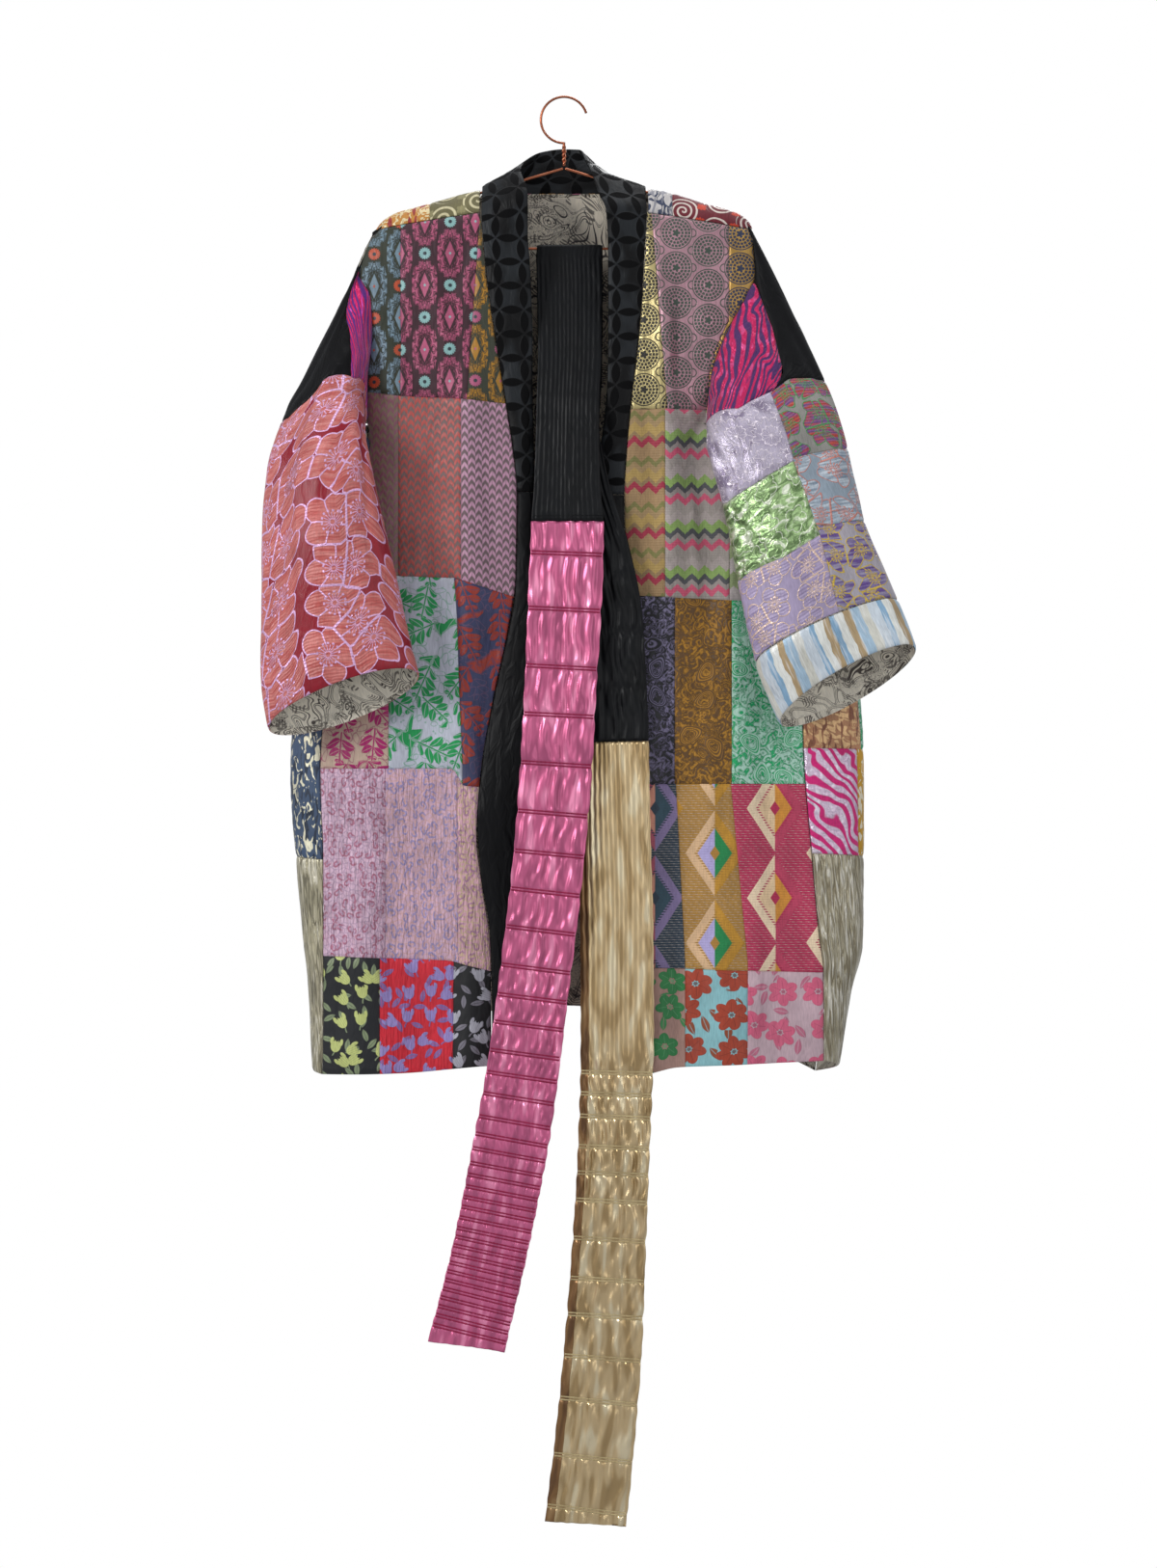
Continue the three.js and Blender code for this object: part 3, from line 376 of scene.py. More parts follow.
def yoke_surface(x, row):
    """Rows -1 to 1 of a yoke, from the front seam over the shoulder to the back seam."""
    top = ridge(x)
    reach = np.where(row < 0, yoke_seam(x) - top, yoke_reach(x))
    return skin(x, top + (reach - SEAM) * row * row, np.where(row < 0, -1, 1))


def back_surface(share, level):
    """The back's points: shares -1 to 1 across, by level."""
    x = share * np.abs(back_edge(level, np.where(share < 0, -1, 1)))
    return skin(x, back_drop(x, level), 1)


def body_heart(points):
    """Points inside the body beside the given ones, to tell which way is out."""
    return points * (0.7, 0, 1)


# ---- the sleeves -------------------------------------------------------------------------
def armhole(side, turn):
    """The armhole's outline, in half turns from the shoulder tip by the front."""
    drop = lerp(SHOULDER_TIP, UNDERARM, (1 - np.cos(np.pi * np.minimum(turn, 1))) / 2)
    before = skin(edge_x[side](drop), drop, -1)
    front = turn_at(edge_x[side](UNDERARM), UNDERARM)
    behind = -turn_at(back_edge(UNDERARM, side), UNDERARM)
    under = np.clip((turn - 1) / (ARMHOLE_TURN - 1), 0, 1)
    below = round_side(side, lerp(front, behind, under), np.full(turn.shape, float(UNDERARM)))
    drop = lerp(UNDERARM, SHOULDER_TIP, np.clip((turn - ARMHOLE_TURN) / (2 - ARMHOLE_TURN), 0, 1))
    x = np.minimum(np.abs(back_edge(drop, side)), half_width(drop, side) - 0.5)
    after = skin(side * x, drop, 1)
    turn = turn[..., None]
    return np.where(turn <= 1, before, np.where(turn <= ARMHOLE_TURN, below, after))


def sleeve_surface(side):
    """A sleeve's points at a turn, in half turns from the outer line, and a share."""
    names = "ox odrop oy ix idrop iy depth lift".split()
    read = {name: through(SLEEVES[side], "share", name) for name in names}

    def surface(turn, share):
        turn, share = np.broadcast_arrays(np.asarray(turn, float) % 2, np.asarray(share, float))
        r = {name: read[name](share) for name in names}
        outer, inner = stack(r["ox"], r["oy"], -r["odrop"]), stack(r["ix"], r["iy"], -r["idrop"])
        angle = np.pi * turn
        depth = r["depth"]
        for middle, width, height, start, end in SLEEVE_FOLDS:
            half = (start + end) / 2
            grown = smooth(share, start, half) * (1 - 0.6 * smooth(share, half, end))
            depth = depth + height * grown * np.exp(-(((turn - middle) / width) ** 2))
        tube = (outer + inner) / 2 + (outer - inner) * 0.5 * np.cos(angle)[..., None]
        tube[..., 1] -= depth * np.sin(angle)
        tube[..., 2] += r["lift"] * np.sin(angle)
        edge = armhole(side, turn)
        edge += ARMHOLE_OUT * stack(side, -np.sin(angle), np.cos(angle))
        free = smooth(share, 0, ARMHOLE_BLEND)
        aside = smooth(share, 0, ARMHOLE_BLEND + ARMHOLE_LAG)
        point = lerp(edge, tube, free[..., None])
        point[..., 0] = np.where(turn > 1, lerp(edge[..., 0], tube[..., 0], aside), point[..., 0])
        return point

    return surface


def tail_surface(rows):
    """A tail of the sash: w from -1 to 1 across, by drop."""
    x, y, half = (through(rows, "drop", name) for name in ("x", "y", "half"))

    def surface(w, drop):
        lean = (x(drop + 1) - x(drop - 1)) / 2
        size = half(drop) / np.sqrt(1 + lean * lean)
        return stack(x(drop) + w * size, y(drop), -drop + w * size * lean)

    return surface


# ---- walls -------------------------------------------------------------------------------
def along_rows(points, axis):
    """Distances along a grid's rows (axis 1) or columns (axis 0), from its first point."""
    steps = np.linalg.norm(np.diff(points, axis=axis), axis=-1)
    return np.insert(np.cumsum(steps, axis=axis), 0, 0, axis=axis)


def normals_of(points):
    """The unit normals of a grid of points."""
    down, across = np.gradient(points, axis=0), np.gradient(points, axis=1)
    normal = np.cross(down, across)
    return normal / np.maximum(np.linalg.norm(normal, axis=-1, keepdims=True), 1e-9)


def grid_faces(rows, cols, start=0):
    """The quads of a grid of points."""
    j, i = np.mgrid[0 : rows - 1, 0 : cols - 1]
    first = (start + j * cols + i).ravel()
    return np.stack([first, first + cols, first + cols + 1, first + 1], -1)


def shares_for(length, cell):
    """Shares of a length, with finer steps at its ends for the seams."""
    if length < 12:
        return np.array([0, 0.15, 0.38, 0.62, 0.85, 1])
    inner = np.linspace(3, length - 3, max(2, round((length - 6) / cell) + 1))
    return np.concatenate([[0, 1.2], inner, [length - 1.2, length]]) / length


class Piece:
    """Gathers the walls of one piece, and makes its mesh."""

    def __init__(self, name):
        self.name, self.count = name, 0
        self.points, self.faces, self.uv, self.marks, self.materials = [], [], [], [], []

    def mark(self, material):
        if material not in self.materials:
            self.materials.append(material)
        return self.materials.index(material)

    def wall(self, points, out, back, uv, material, inner=None):
        """A closed wall over a grid of points, from out to back along its normals."""
        rows, cols = points.shape[:2]
        normal = normals_of(points)
        shape = (rows, cols, 1)
        outer = points + normal * np.broadcast_to(np.reshape(out, np.shape(out) + (1,)), shape)
        inside = points + normal * np.broadcast_to(np.reshape(back, np.shape(back) + (1,)), shape)
        size = rows * cols
        index = np.arange(size).reshape(rows, cols)
        loop = np.concatenate([index[:, 0], index[-1, 1:], index[-2::-1, -1], index[0, -2:0:-1]])
        follow = np.roll(loop, -1)
        rim = np.stack([loop, loop + size, follow + size, follow], -1)
        faces = [grid_faces(rows, cols), grid_faces(rows, cols, size)[:, ::-1], rim]
        marks = [self.mark(material), self.mark(inner or material), self.mark(material)]
        self.points += [outer.reshape(-1, 3), inside.reshape(-1, 3)]
        self.uv += [uv.reshape(-1, 2)] * 2
        for face, mark in zip(faces, marks):
            self.faces.append(face + self.count)
            self.marks.append(np.full(len(face), mark))
        self.count += 2 * size

    def build(self, nodes, slot, flat=None, rests_on=(), area=None):
        points, faces = np.concatenate(self.points) / 1000, np.concatenate(self.faces)
        marks, uv = np.concatenate(self.marks), np.concatenate(self.uv) / 1000
        mesh = bpy.data.meshes.new(self.name)
        mesh.vertices.add(len(points))
        mesh.vertices.foreach_set("co", points.ravel())
        mesh.loops.add(faces.size)
        mesh.loops.foreach_set("vertex_index", faces.ravel().astype(np.int32))
        mesh.polygons.add(len(faces))
        mesh.polygons.foreach_set("loop_start", np.arange(0, faces.size, 4, dtype=np.int32))
        mesh.polygons.foreach_set("material_index", marks.astype(np.int32))
        mesh.polygons.foreach_set("use_smooth", np.ones(len(faces), bool))
        for material in self.materials:
            mesh.materials.append(material)
        layer = mesh.uv_layers.new(name="cloth")
        layer.data.foreach_set("uv", uv[faces.ravel()].ravel())
        mesh.update(calc_edges=True)
        mesh.validate()
        made = bpy.data.objects.new(self.name, mesh)
        bpy.context.scene.collection.objects.link(made)
        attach(made, "root")
        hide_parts(*nodes)
        return made


def lattice(surface, left, right, top, bottom, across, down):
    """A patch's points: a runs from left(b) to right(b), and b from top(a) to bottom(a)."""
    u, v = np.meshgrid(across, down)
    a = np.full(u.shape, float(np.mean(top(np.zeros(1)))))
    a = lerp(left(a), right(a), u)
    for _ in range(22):
        b = lerp(top(a), bottom(a), v)
        a = (a + lerp(left(b), right(b), u)) / 2
    return surface(a, b), a, b


def seam_relief(points):
    """How a patch sinks at its seams, puckers beside them and is a little uneven between."""
    across, down = along_rows(points, 1), along_rows(points, 0)
    to_side = np.minimum(across, across[:, -1:] - across)
    to_end = np.minimum(down, down[-1:] - down)
    edge = np.minimum(to_side, to_end)
    x, z = points[..., 0] + 0.7 * points[..., 1], points[..., 2]
    height = 0.45 * (1 - np.exp(-edge / 10)) - 0.95 * np.exp(-((edge / 1.7) ** 2))
    end_pucker = np.sin(x / 2.1 + 1.7 * np.sin(x / 13)) * (1 - np.exp(-to_end / 1.5))
    side_pucker = np.sin(z / 2.4 + 1.7 * np.sin(z / 17)) * (1 - np.exp(-to_side / 1.5))
    height += 0.42 * np.exp(-to_end / 9) * end_pucker
    height += 0.36 * np.exp(-to_side / 9) * side_pucker
    height += 0.35 * np.sin(x / 6.3 + 1.9 * np.sin(z / 27)) * np.sin(z / 17 + 1.3 * np.sin(x / 19))
    return height


def crease_relief(points):
    """The finer creases of the skin."""
    x, drop = points[..., 0], -points[..., 2]
    height = np.zeros(x.shape)
    for face, x1, drop1, x2, drop2, width, size in CREASES:
        length = math.hypot(x2 - x1, drop2 - drop1)
        ux, ud = (x2 - x1) / length, (drop2 - drop1) / length
        t = ((x - x1) * ux + (drop - drop1) * ud) / length
        away = (drop - drop1) * ux - (x - x1) * ud + 5 * np.sin(3 * t) - 2
        ease = smooth(t, 0, 0.3) * (1 - smooth(t, 0.65, 1))
        height += np.where(face * points[..., 1] > 0, size * ease * np.exp(-((away / width) ** 2)), 0)
    return np.where(points[..., 1] > 0, BACK_CREASING, FRONT_CREASING) * height


def add_patch(piece, surface, material, left, right, top, bottom, cell=4.0, grain="arc",
              relief=crease_relief, outward=None, inner=None, out=CLOTH, back=0.0, seams=True):
    """One sewn patch: its grid, its sunk seams and its creases."""
    borders, few = (left, right, top, bottom), np.linspace(0, 1, 7)
    rough = lattice(surface, *borders, few, few)[0]
    width, height = along_rows(rough, 1)[:, -1].mean(), along_rows(rough, 0)[-1].mean()
    points, a, b = lattice(surface, *borders, shares_for(width, cell), shares_for(height, cell))
    if outward is None:
        outward = (normals_of(points) * (points - body_heart(points))).sum()
    if outward < 0:
        points, a, b = points[:, ::-1], a[:, ::-1], b[:, ::-1]
    if grain == "upright":
        uv = points[..., [0, 2]]
    else:
        uv = np.stack([along_rows(points, 1), -along_rows(points, 0)], -1)
        uv += points[0, 0, [0, 2]]
    lift = relief(points) if relief is crease_relief else relief(a, b)
    if seams:
        lift = lift + seam_relief(points)
    behind = np.minimum(lift, 0) * 0.6 + np.minimum(lift + 2.2, 0) * 0.4
    piece.wall(points, out + lift, back + behind, uv, material, inner)


# ---- materials ---------------------------------------------------------------------------
def linear(code):
    """A colour from its sRGB hex code."""
    channels = [int(code[i : i + 2], 16) / 255 for i in (0, 2, 4)]
    return tuple(c / 12.92 if c <= 0.04045 else ((c + 0.055) / 1.055) ** 2.4 for c in channels) + (1.0,)


class Field:
    """A number that varies over the cloth. Arithmetic on it adds math nodes."""

    def __init__(self, loom, socket):
        self.loom, self.socket = loom, socket

    def __add__(self, other):
        return self.loom.math("ADD", self, other)

    def __sub__(self, other):
        return self.loom.math("SUBTRACT", self, other)

    def __rsub__(self, other):
        return self.loom.math("SUBTRACT", other, self)

    def __mul__(self, other):
        return self.loom.math("MULTIPLY", self, other)

    def __truediv__(self, other):
        return self.loom.math("DIVIDE", self, other)

    __radd__, __rmul__ = __add__, __mul__


class Loom:
    """One cloth's material. Its fields u and v are millimetres across and up the cloth."""

    def __init__(self, name):
        self.material = bpy.data.materials.new(name)
        self.material.use_nodes = True
        self.nodes, self.links = self.material.node_tree.nodes, self.material.node_tree.links
        self.shader = self.nodes["Principled BSDF"]
        chart = self.nodes.new("ShaderNodeUVMap")
        chart.uv_map = "cloth"
        split = self.nodes.new("ShaderNodeSeparateXYZ")
        self.links.new(chart.outputs[0], split.inputs[0])
        self.u, self.v = Field(self, split.outputs[0]) * 1000, Field(self, split.outputs[1]) * 1000

    def plug(self, value, socket):
        if isinstance(value, Field):
            self.links.new(value.socket, socket)
        else:
            socket.default_value = value

    def math(self, operation, *values):
        node = self.nodes.new("ShaderNodeMath")
        node.operation = operation
        for value, socket in zip(values, node.inputs):
            self.plug(value, socket)
        return Field(self, node.outputs[0])

    def sin(self, value):
        return self.math("SINE", value)

    def cos(self, value):
        return self.math("COSINE", value)

    def size(self, value):
        return self.math("ABSOLUTE", value)

    def top(self, a, b):
        return self.math("MAXIMUM", a, b)

    def zigzag(self, value, period):
        """A triangle wave from -1 to 1."""
        return self.math("PINGPONG", value, period / 2) * (4 / period) - 1

    def step(self, value, low, high):
        node = self.nodes.new("ShaderNodeMapRange")
        node.interpolation_type = "SMOOTHSTEP"
        for item, socket in zip((value, low, high), node.inputs):
            self.plug(item, socket)
        return Field(self, node.outputs[0])

    def fill(self, shape, soft=0.35):
        """1 where a shape is above zero."""
        return self.step(shape, -soft, soft)

    def line(self, shape, width=1.2, soft=0.35):
        """1 along the line where a shape is zero."""
        return self.fill(width / 2 - self.size(shape), soft)

    def mix(self, t, a, b):
        node = self.nodes.new("ShaderNodeMix")
        node.data_type = "RGBA"
        self.plug(t, node.inputs[0])
        for value, socket in ((a, node.inputs[6]), (b, node.inputs[7])):
            self.plug(linear(value) if isinstance(value, str) else value, socket)
        return Field(self, node.outputs[2])

    def bands(self, t, colours):
        """Bands of colour over t from 0 to 1, each as wide as it says."""
        node = self.nodes.new("ShaderNodeValToRGB")
        node.color_ramp.interpolation = "CONSTANT"
        at, ramp = 0.0, node.color_ramp.elements
        for k, (width, code) in enumerate(colours):
            element = ramp[0] if k == 0 else ramp.new(at) if k > 1 else ramp[1]
            element.position, element.color = at, linear(code)
            at += width
        self.plug(t, node.inputs[0])
        return Field(self, node.outputs[0])

    def point(self, x, y):
        node = self.nodes.new("ShaderNodeCombineXYZ")
        self.plug(x, node.inputs[0])
        self.plug(y, node.inputs[1])
        return node.outputs[0]

    def noise(self, x, y, detail=1.0, twist=0.0):
        """Noise from 0 to 1, one lump to a unit of x and y."""
        node = self.nodes.new("ShaderNodeTexNoise")
        node.noise_dimensions = "2D"
        self.links.new(self.point(x, y), node.inputs["Vector"])
        node.inputs["Scale"].default_value = 1.0
        node.inputs["Detail"].default_value = detail
        node.inputs["Distortion"].default_value = twist
        return Field(self, node.outputs[0])

    def cells(self, size, x=None, y=None, spread=1.0, shift=0.0):
        """Scattered motifs: the place from each one's middle in mm, and two random numbers."""
        x, y = (x or self.u) / size + shift, (y or self.v) / size + shift
        node, split, middle = (
            self.nodes.new("ShaderNode" + kind) for kind in ("TexVoronoi", "SeparateXYZ", "SeparateXYZ")
        )
        node.voronoi_dimensions = "2D"
        node.inputs["Scale"].default_value = 1.0
        node.inputs["Randomness"].default_value = spread
        self.links.new(self.point(x, y), node.inputs["Vector"])
        self.links.new(node.outputs["Color"], split.inputs[0])
        self.links.new(node.outputs["Position"], middle.inputs[0])
        p = (x - Field(self, middle.outputs[0])) * size
        q = (y - Field(self, middle.outputs[1])) * size
        return p, q, Field(self, split.outputs[0]), Field(self, split.outputs[1])

    def edges(self, size, shift=0.0, spread=1.0):
        """Distance in mm to the nearest border between scattered cells."""
        node = self.nodes.new("ShaderNodeTexVoronoi")
        node.voronoi_dimensions, node.feature = "2D", "DISTANCE_TO_EDGE"
        node.inputs["Scale"].default_value = 1.0
        node.inputs["Randomness"].default_value = spread
        self.links.new(self.point(self.u / size + shift, self.v / size + shift), node.inputs["Vector"])
        return Field(self, node.outputs[0]) * size

    def repeat(self, width, height, offset=0.5):
        """The place from the middle of a half-drop repeat, in mm."""
        column = self.math("FLOOR", self.u / width)
        p = self.u - (column + 0.5) * width
        v = self.v / height + self.math("FLOORED_MODULO", column, 2.0) * offset
        return p, (self.math("FRACT", v) - 0.5) * height

    def turned(self, p, q, angle):
        c, s = self.cos(angle), self.sin(angle)
        return p * c + q * s, q * c - p * s

    def polar(self, p, q):
        return self.math("SQRT", p * p + q * q), self.math("ARCTAN2", q, p)

    def flower(self, r, angle, petals, radius, depth=0.3):
        """A shape with round petals, positive inside."""
        return (1 - depth + depth * self.size(self.cos(angle * (petals / 2)))) * radius - r

    def finish(self, colour, rough=0.6, metal=0.0, relief=None, sheen=0.1, weave=0.05,
               crumple=0.6, crumple_size=(9.0, 26.0), wear=0.2, gloss=0.4):
        """Adds the yarns and the fine crumple, and connects the shader."""
        shader = self.shader
        slub = self.noise(self.u / 1.3, self.v / 9, 2.0) + self.noise(self.u / 30, self.v / 45, 2.0)
        shade = self.nodes.new("ShaderNodeMix")
        shade.data_type, shade.blend_type = "RGBA", "MULTIPLY"
        shade.inputs[0].default_value = 1.0
        self.plug(colour, shade.inputs[6])
        grey = (slub - 1) * (2.4 * wear) + 1
        tint = self.nodes.new("ShaderNodeCombineXYZ")
        for socket in tint.inputs:
            self.plug(grey, socket)
        self.links.new(tint.outputs[0], shade.inputs[7])
        self.links.new(shade.outputs[2], shader.inputs["Base Color"])
        self.plug(rough, shader.inputs["Roughness"])
        self.plug(metal, shader.inputs["Metallic"])
        shader.inputs["Sheen Weight"].default_value = sheen
        shader.inputs["Specular IOR Level"].default_value = gloss
        shader.inputs["Sheen Roughness"].default_value = 0.5
        wide, tall = crumple_size
        height = (self.noise(self.u / wide, self.v / tall, 3.0, 0.6) - 0.5) * (2 * crumple)
        if weave:
            height = height + self.sin(self.u * 3.3) * self.sin(self.v * 3.3) * weave
        if relief is not None:
            height = height + relief
        bump = self.nodes.new("ShaderNodeBump")
        bump.inputs["Distance"].default_value = 0.001
        self.plug(height, bump.inputs["Height"])
        self.links.new(bump.outputs[0], shader.inputs["Normal"])
        return self.material


def damask(name, ground, scroll, daisy, heart="27343a"):
    """Mirrored scrolls that curl round diamond florets, with daisies between them."""
    m = Loom(name)
    p, q = m.repeat(26, 66)
    r, angle = m.polar(p, q)
    x, y = m.size(p), 33 - m.size(q)
    oval = m.polar(x / 11.2, y / 22)[0]
    flow = m.noise(x / 6.2 + 3.1, y / 7.4 + 1.7, 0.6, 1.3)
    leaf = m.fill(3.0 - m.size((oval - 0.95) * 11.2) + (flow - 0.45) * 14)
    vein = m.line((flow - 0.6) * 34, 0.9)
    floret = m.fill((1 - x / 5.2 - y / 13) * 6)
    carved = 1 - m.line((flow - 0.47) * 30, 1.7) - m.line((flow - 0.57) * 30, 1.5)
    scrolls = m.top(leaf * m.top(carved, 0.0) * m.fill(r - 8.2), floret)  # never below zero
    bloom = m.fill(m.flower(r, angle, 16, 6.4, 0.2))
    colour = m.mix(scrolls, ground, scroll)
    colour = m.mix(vein * scrolls * 0.8, colour, ground)
    colour = m.mix(m.fill(1.4 - m.size(x) - m.size(y) * 0.8), colour, daisy)
    colour = m.mix(bloom, colour, daisy)
    colour = m.mix(m.fill(1.9 - r), colour, heart)
    raised = m.top(scrolls, bloom)
    return m.finish(colour, 0.62 - raised * 0.2, relief=raised * 0.3)


def arrows(name, light, dark):
    """Small interlocking arrowheads in staggered columns."""
    m = Loom(name)
    column = m.math("FLOOR", m.u / 7)
    odd = m.math("FLOORED_MODULO", column, 2.0)
    p = m.size(m.u - (column + 0.5) * 7)
    t = m.math("FRACT", (m.v + p * 1.3) / 9 + odd * 0.5)
    head = m.fill((m.size(t - 0.5) - 0.25) * 9)
    notch = m.line(m.u - (column + 0.5) * 7, 0.8) * 0.35
    colour = m.mix(notch, m.mix(head, dark, light), dark)
    return m.finish(colour, 0.58 - head * 0.2, relief=head * 0.25)


def leaves(name, ground, leaf, outline, size=38.0):
    """Sprays of paired leaves on stems, with thin outlined ones between."""
    m = Loom(name)
    sprays = []
    for shift, scale in ((0.0, 1.0), (5.3, 0.8)):
        p, q, turn, _ = m.cells(size * scale, shift=shift, spread=0.55)
        a, b = m.turned(p, q, (turn - 0.5) * 2.4)
        b = b + m.sin(a / 4) * 1.2
        x = m.size(a)
        rung = m.math("FLOORED_MODULO", b + x * 0.75 - x * x * 0.012 + 60, 10.4 * scale) - 5.2 * scale
        end = (1 - b * b / (size * size * scale * scale * 0.3)) * (14 * scale) + 1.2
        lens = (x - 0.4) * (end - x) / (end * 0.8) - m.size(rung) * 0.85
        stem = (0.7 - x) * m.fill(size * scale * 0.52 - m.size(b))
        sprays.append((lens, rung, stem))
    big = m.top(m.fill(sprays[0][0]), m.fill(sprays[0][2]))
    small = m.line(sprays[1][0] - 0.3, 0.9)
    vein = m.fill(0.35 - m.size(sprays[0][1])) * m.fill(sprays[0][0] - 0.4)
    colour = m.mix(small * 0.8, ground, outline)
    colour = m.mix(big, colour, leaf)
    colour = m.mix(vein * 0.75, colour, ground)
    return m.finish(colour, 0.55 - big * 0.15, relief=big * 0.3)


def leopard(name, ground, spot, net):
    """Crinkled cloth with small broken rings in a fine net."""
    m = Loom(name)
    bent = m.noise(m.u / 6, m.v / 6, 1.0, 0.5) * 3
    p, q, turn, kind = m.cells(10.5, x=m.u + bent, spread=0.8)
    r, angle = m.polar(p, q * 0.8)
    wave = m.sin(angle * 2 + turn * 6) * 0.8
    ring = m.line(r - 2.5 - wave, 1.7) * m.fill(m.sin(angle + turn * 9 + kind * 5) + 0.75)
    heart = m.fill(1.5 - r + wave * 0.5)
    web = m.line(m.edges(5.5), 1.2)
    colour = m.mix(web * 0.7, ground, net)
    colour = m.mix(heart * 0.6, colour, net)
    colour = m.mix(ring * 0.85, colour, spot)
    pucker = m.noise(m.u / 2.4, m.v / 19, 2.0, 0.8) - 0.5
    # Painted shade: the troughs of the crinkle, where pucker is low, are tinted towards the darker spot
    # colour.
    colour = m.mix(m.step(pucker, 0.02, -0.2) * 0.22, colour, spot)
    return m.finish(colour, 0.42, relief=pucker * 3.4 + ring * 0.3, crumple=0.8, sheen=0.35)


def bells(name, ground, bloom, leaf, crinkle=0.0):
    """Tulips and leaves on winding stems."""
    m = Loom(name)
    p, q, turn, _ = m.cells(24, spread=0.65)
    a, b = m.turned(p, q, (turn - 0.5) * 2.4)
    a, b = a * 1.15, b * 1.15
    x = m.size(a)
    lobes = m.step(b, 1.5, 7.5) * m.size(m.sin(x * 0.85 + 1.57)) * 5.5
    cup = 6.2 - m.polar(x, (b + 1) * 0.8)[0] - lobes
    cup = m.top(cup, 2.1 - m.polar(x - 5.6, (b - 4) * 0.5)[0])
    veins = m.line(m.sin(a * 1.3), 0.28) * m.fill(cup - 1.0)
    stem = m.fill(0.75 - m.size(a + m.sin(b / 3) * 1.2)) * m.fill(0 - b) * m.fill(b + 15)
    p, q, turn, _ = m.cells(17, shift=7.7, spread=0.9)
    c, d = m.turned(p, q, turn * ANY_TURN)
    blade = (1 - c * c / 52) * 2.7 - m.size(d)
    green = m.top(m.fill(blade), stem)
    colour = m.mix(green, ground, leaf)
    colour = m.mix(m.fill(0.3 - m.size(d)) * m.fill(blade) * 0.6, colour, ground)
    colour = m.mix(m.fill(cup), colour, bloom)
    colour = m.mix(veins * 0.6, colour, ground)
    raised = m.top(m.fill(cup), green)
    relief = raised * 0.3
    if crinkle:
        relief = relief + (m.noise(m.u / 2.4, m.v / 22, 2.0, 0.5) - 0.5) * crinkle
    return m.finish(colour, 0.62 - raised * 0.2, relief=relief)


def dotted_circles(name, ground, thread, metal=0.0):
    """Half-dropped circles of dotted rings round a small palmette."""
    m = Loom(name)
    p, q = m.repeat(33, 36)
    r, angle = m.polar(p, q)
    heart = m.fill(m.flower(r, angle, 5, 4.4, 0.5))
    mask = 1 - heart
    for radius, dots, width in ((6.6, 12, 2.6), (10.2, 18, 2.6), (13.6, 24, 2.6)):
        mask = mask * (1 - m.line(r - radius, width) * m.fill(m.cos(angle * dots) + 0.7, 0.5))
    mask = mask * (1 - m.line(r - 16.4, 1.1))
    far = m.polar(m.size(p) - 16.5, m.size(q) - 18)[0]
    mask = mask * (1 - m.line(far - 4.2, 1.1) * m.fill(r - 16.4))
    gloss = mask * metal if metal else 0.0
    sheen = m.noise(m.u / 24, m.v / 30, 1.0)
    colour = m.mix(mask * (sheen * 0.5 + 0.72), ground, thread)
    return m.finish(colour, 0.5 - mask * 0.18, gloss, mask * 0.3)


def chevrons(name, colours, period, wave, rise, shift=0.0):
    """Bands of zigzag in several colours."""
    m = Loom(name)
    rough = m.noise(m.u / 3, m.v / 3, 2.0) * 2.2
    bent = m.v + m.zigzag(m.u, wave) * rise + rough + shift
    t = m.math("FRACT", bent / period)
    tick = m.sin(m.v * 2.4)
    return m.finish(m.bands(t, colours), 0.62, relief=tick * 0.12, sheen=0.3)


def paisley(name, ground, thread, dense=1.0):
    """Close scrolls in line, with a few teardrops."""
    m = Loom(name)
    p, q, turn, kind = m.cells(36, spread=0.7)
    a, b = m.turned(p, q, turn * ANY_TURN)
    r, angle = m.polar(a + b * b * 0.045, b)
    drop = ((1.1 + m.sin(angle) * 0.5) * 8.5 - r) * m.fill(kind - 0.45) - 3 * m.fill(0.45 - kind)
    mask = m.top(m.line(drop, 1.5), m.line(drop - 2.4, 1.0))
    mask = m.top(mask, m.line(drop - 4.4, 0.9))
    curl = m.noise(m.u / 9, m.v / 9, 0.0, 2.4)
    outside = m.top(m.fill(0 - drop - 1.0), m.fill(drop - 5.2))
    twigs = m.fill((curl - 0.56) * 26)
    twigs = m.top(twigs, m.line((curl - 0.42) * 26, 1.3))
    twigs = m.top(twigs, m.line((curl - 0.5) * 26, 0.9))
    dots = m.fill(m.sin(m.u * 1.5 + curl * 9) * m.sin(m.v * 1.5 + curl * 7) - 0.72, 0.1)
    mask = m.top(mask, m.top(twigs * dense, dots * 0.8) * outside)
    return m.finish(m.mix(mask, ground, thread), 0.6 - mask * 0.16, relief=mask * 0.25)


def lozenges(name, ground, core_left, core_right, collar_left, collar_right):
    """Plain nested lozenges in two halves, on a ground of white dashes."""
    m = Loom(name)
    width, height = 62.0, 92.0
    p, q = m.repeat(width, height)
    d = m.size(p) / (width / 2) + m.size(q) / (height / 2)
    left = m.fill(p, 0.6)
    core = m.mix(left, core_left, core_right)
    collar = m.mix(left, collar_left, collar_right)
    row = m.math("FLOOR", m.v / 2.6)
    broken = m.fill(m.sin(m.u * 0.8 + row * 2.1) + 0.45, 0.3)
    dash = m.line(m.zigzag(m.v, 2.6) * 1.3 + 1.3, 0.9, 0.3) * broken
    colour = m.mix(dash * 0.75, ground, "ddd3cc")
    colour = m.mix(m.fill(0.96 - d, 0.015), colour, collar)
    colour = m.mix(m.fill(m.sin(m.v * 2.4), 0.4) * m.fill(0.66 - d, 0.015), colour, ground)
    colour = m.mix(m.fill(0.56 - d, 0.015), colour, core)
    colour = m.mix(m.fill(0.16 - d, 0.015), colour, ground)
    return m.finish(colour, 0.6, relief=dash * 0.25 + m.fill(0.94 - d, 0.03) * 0.35)


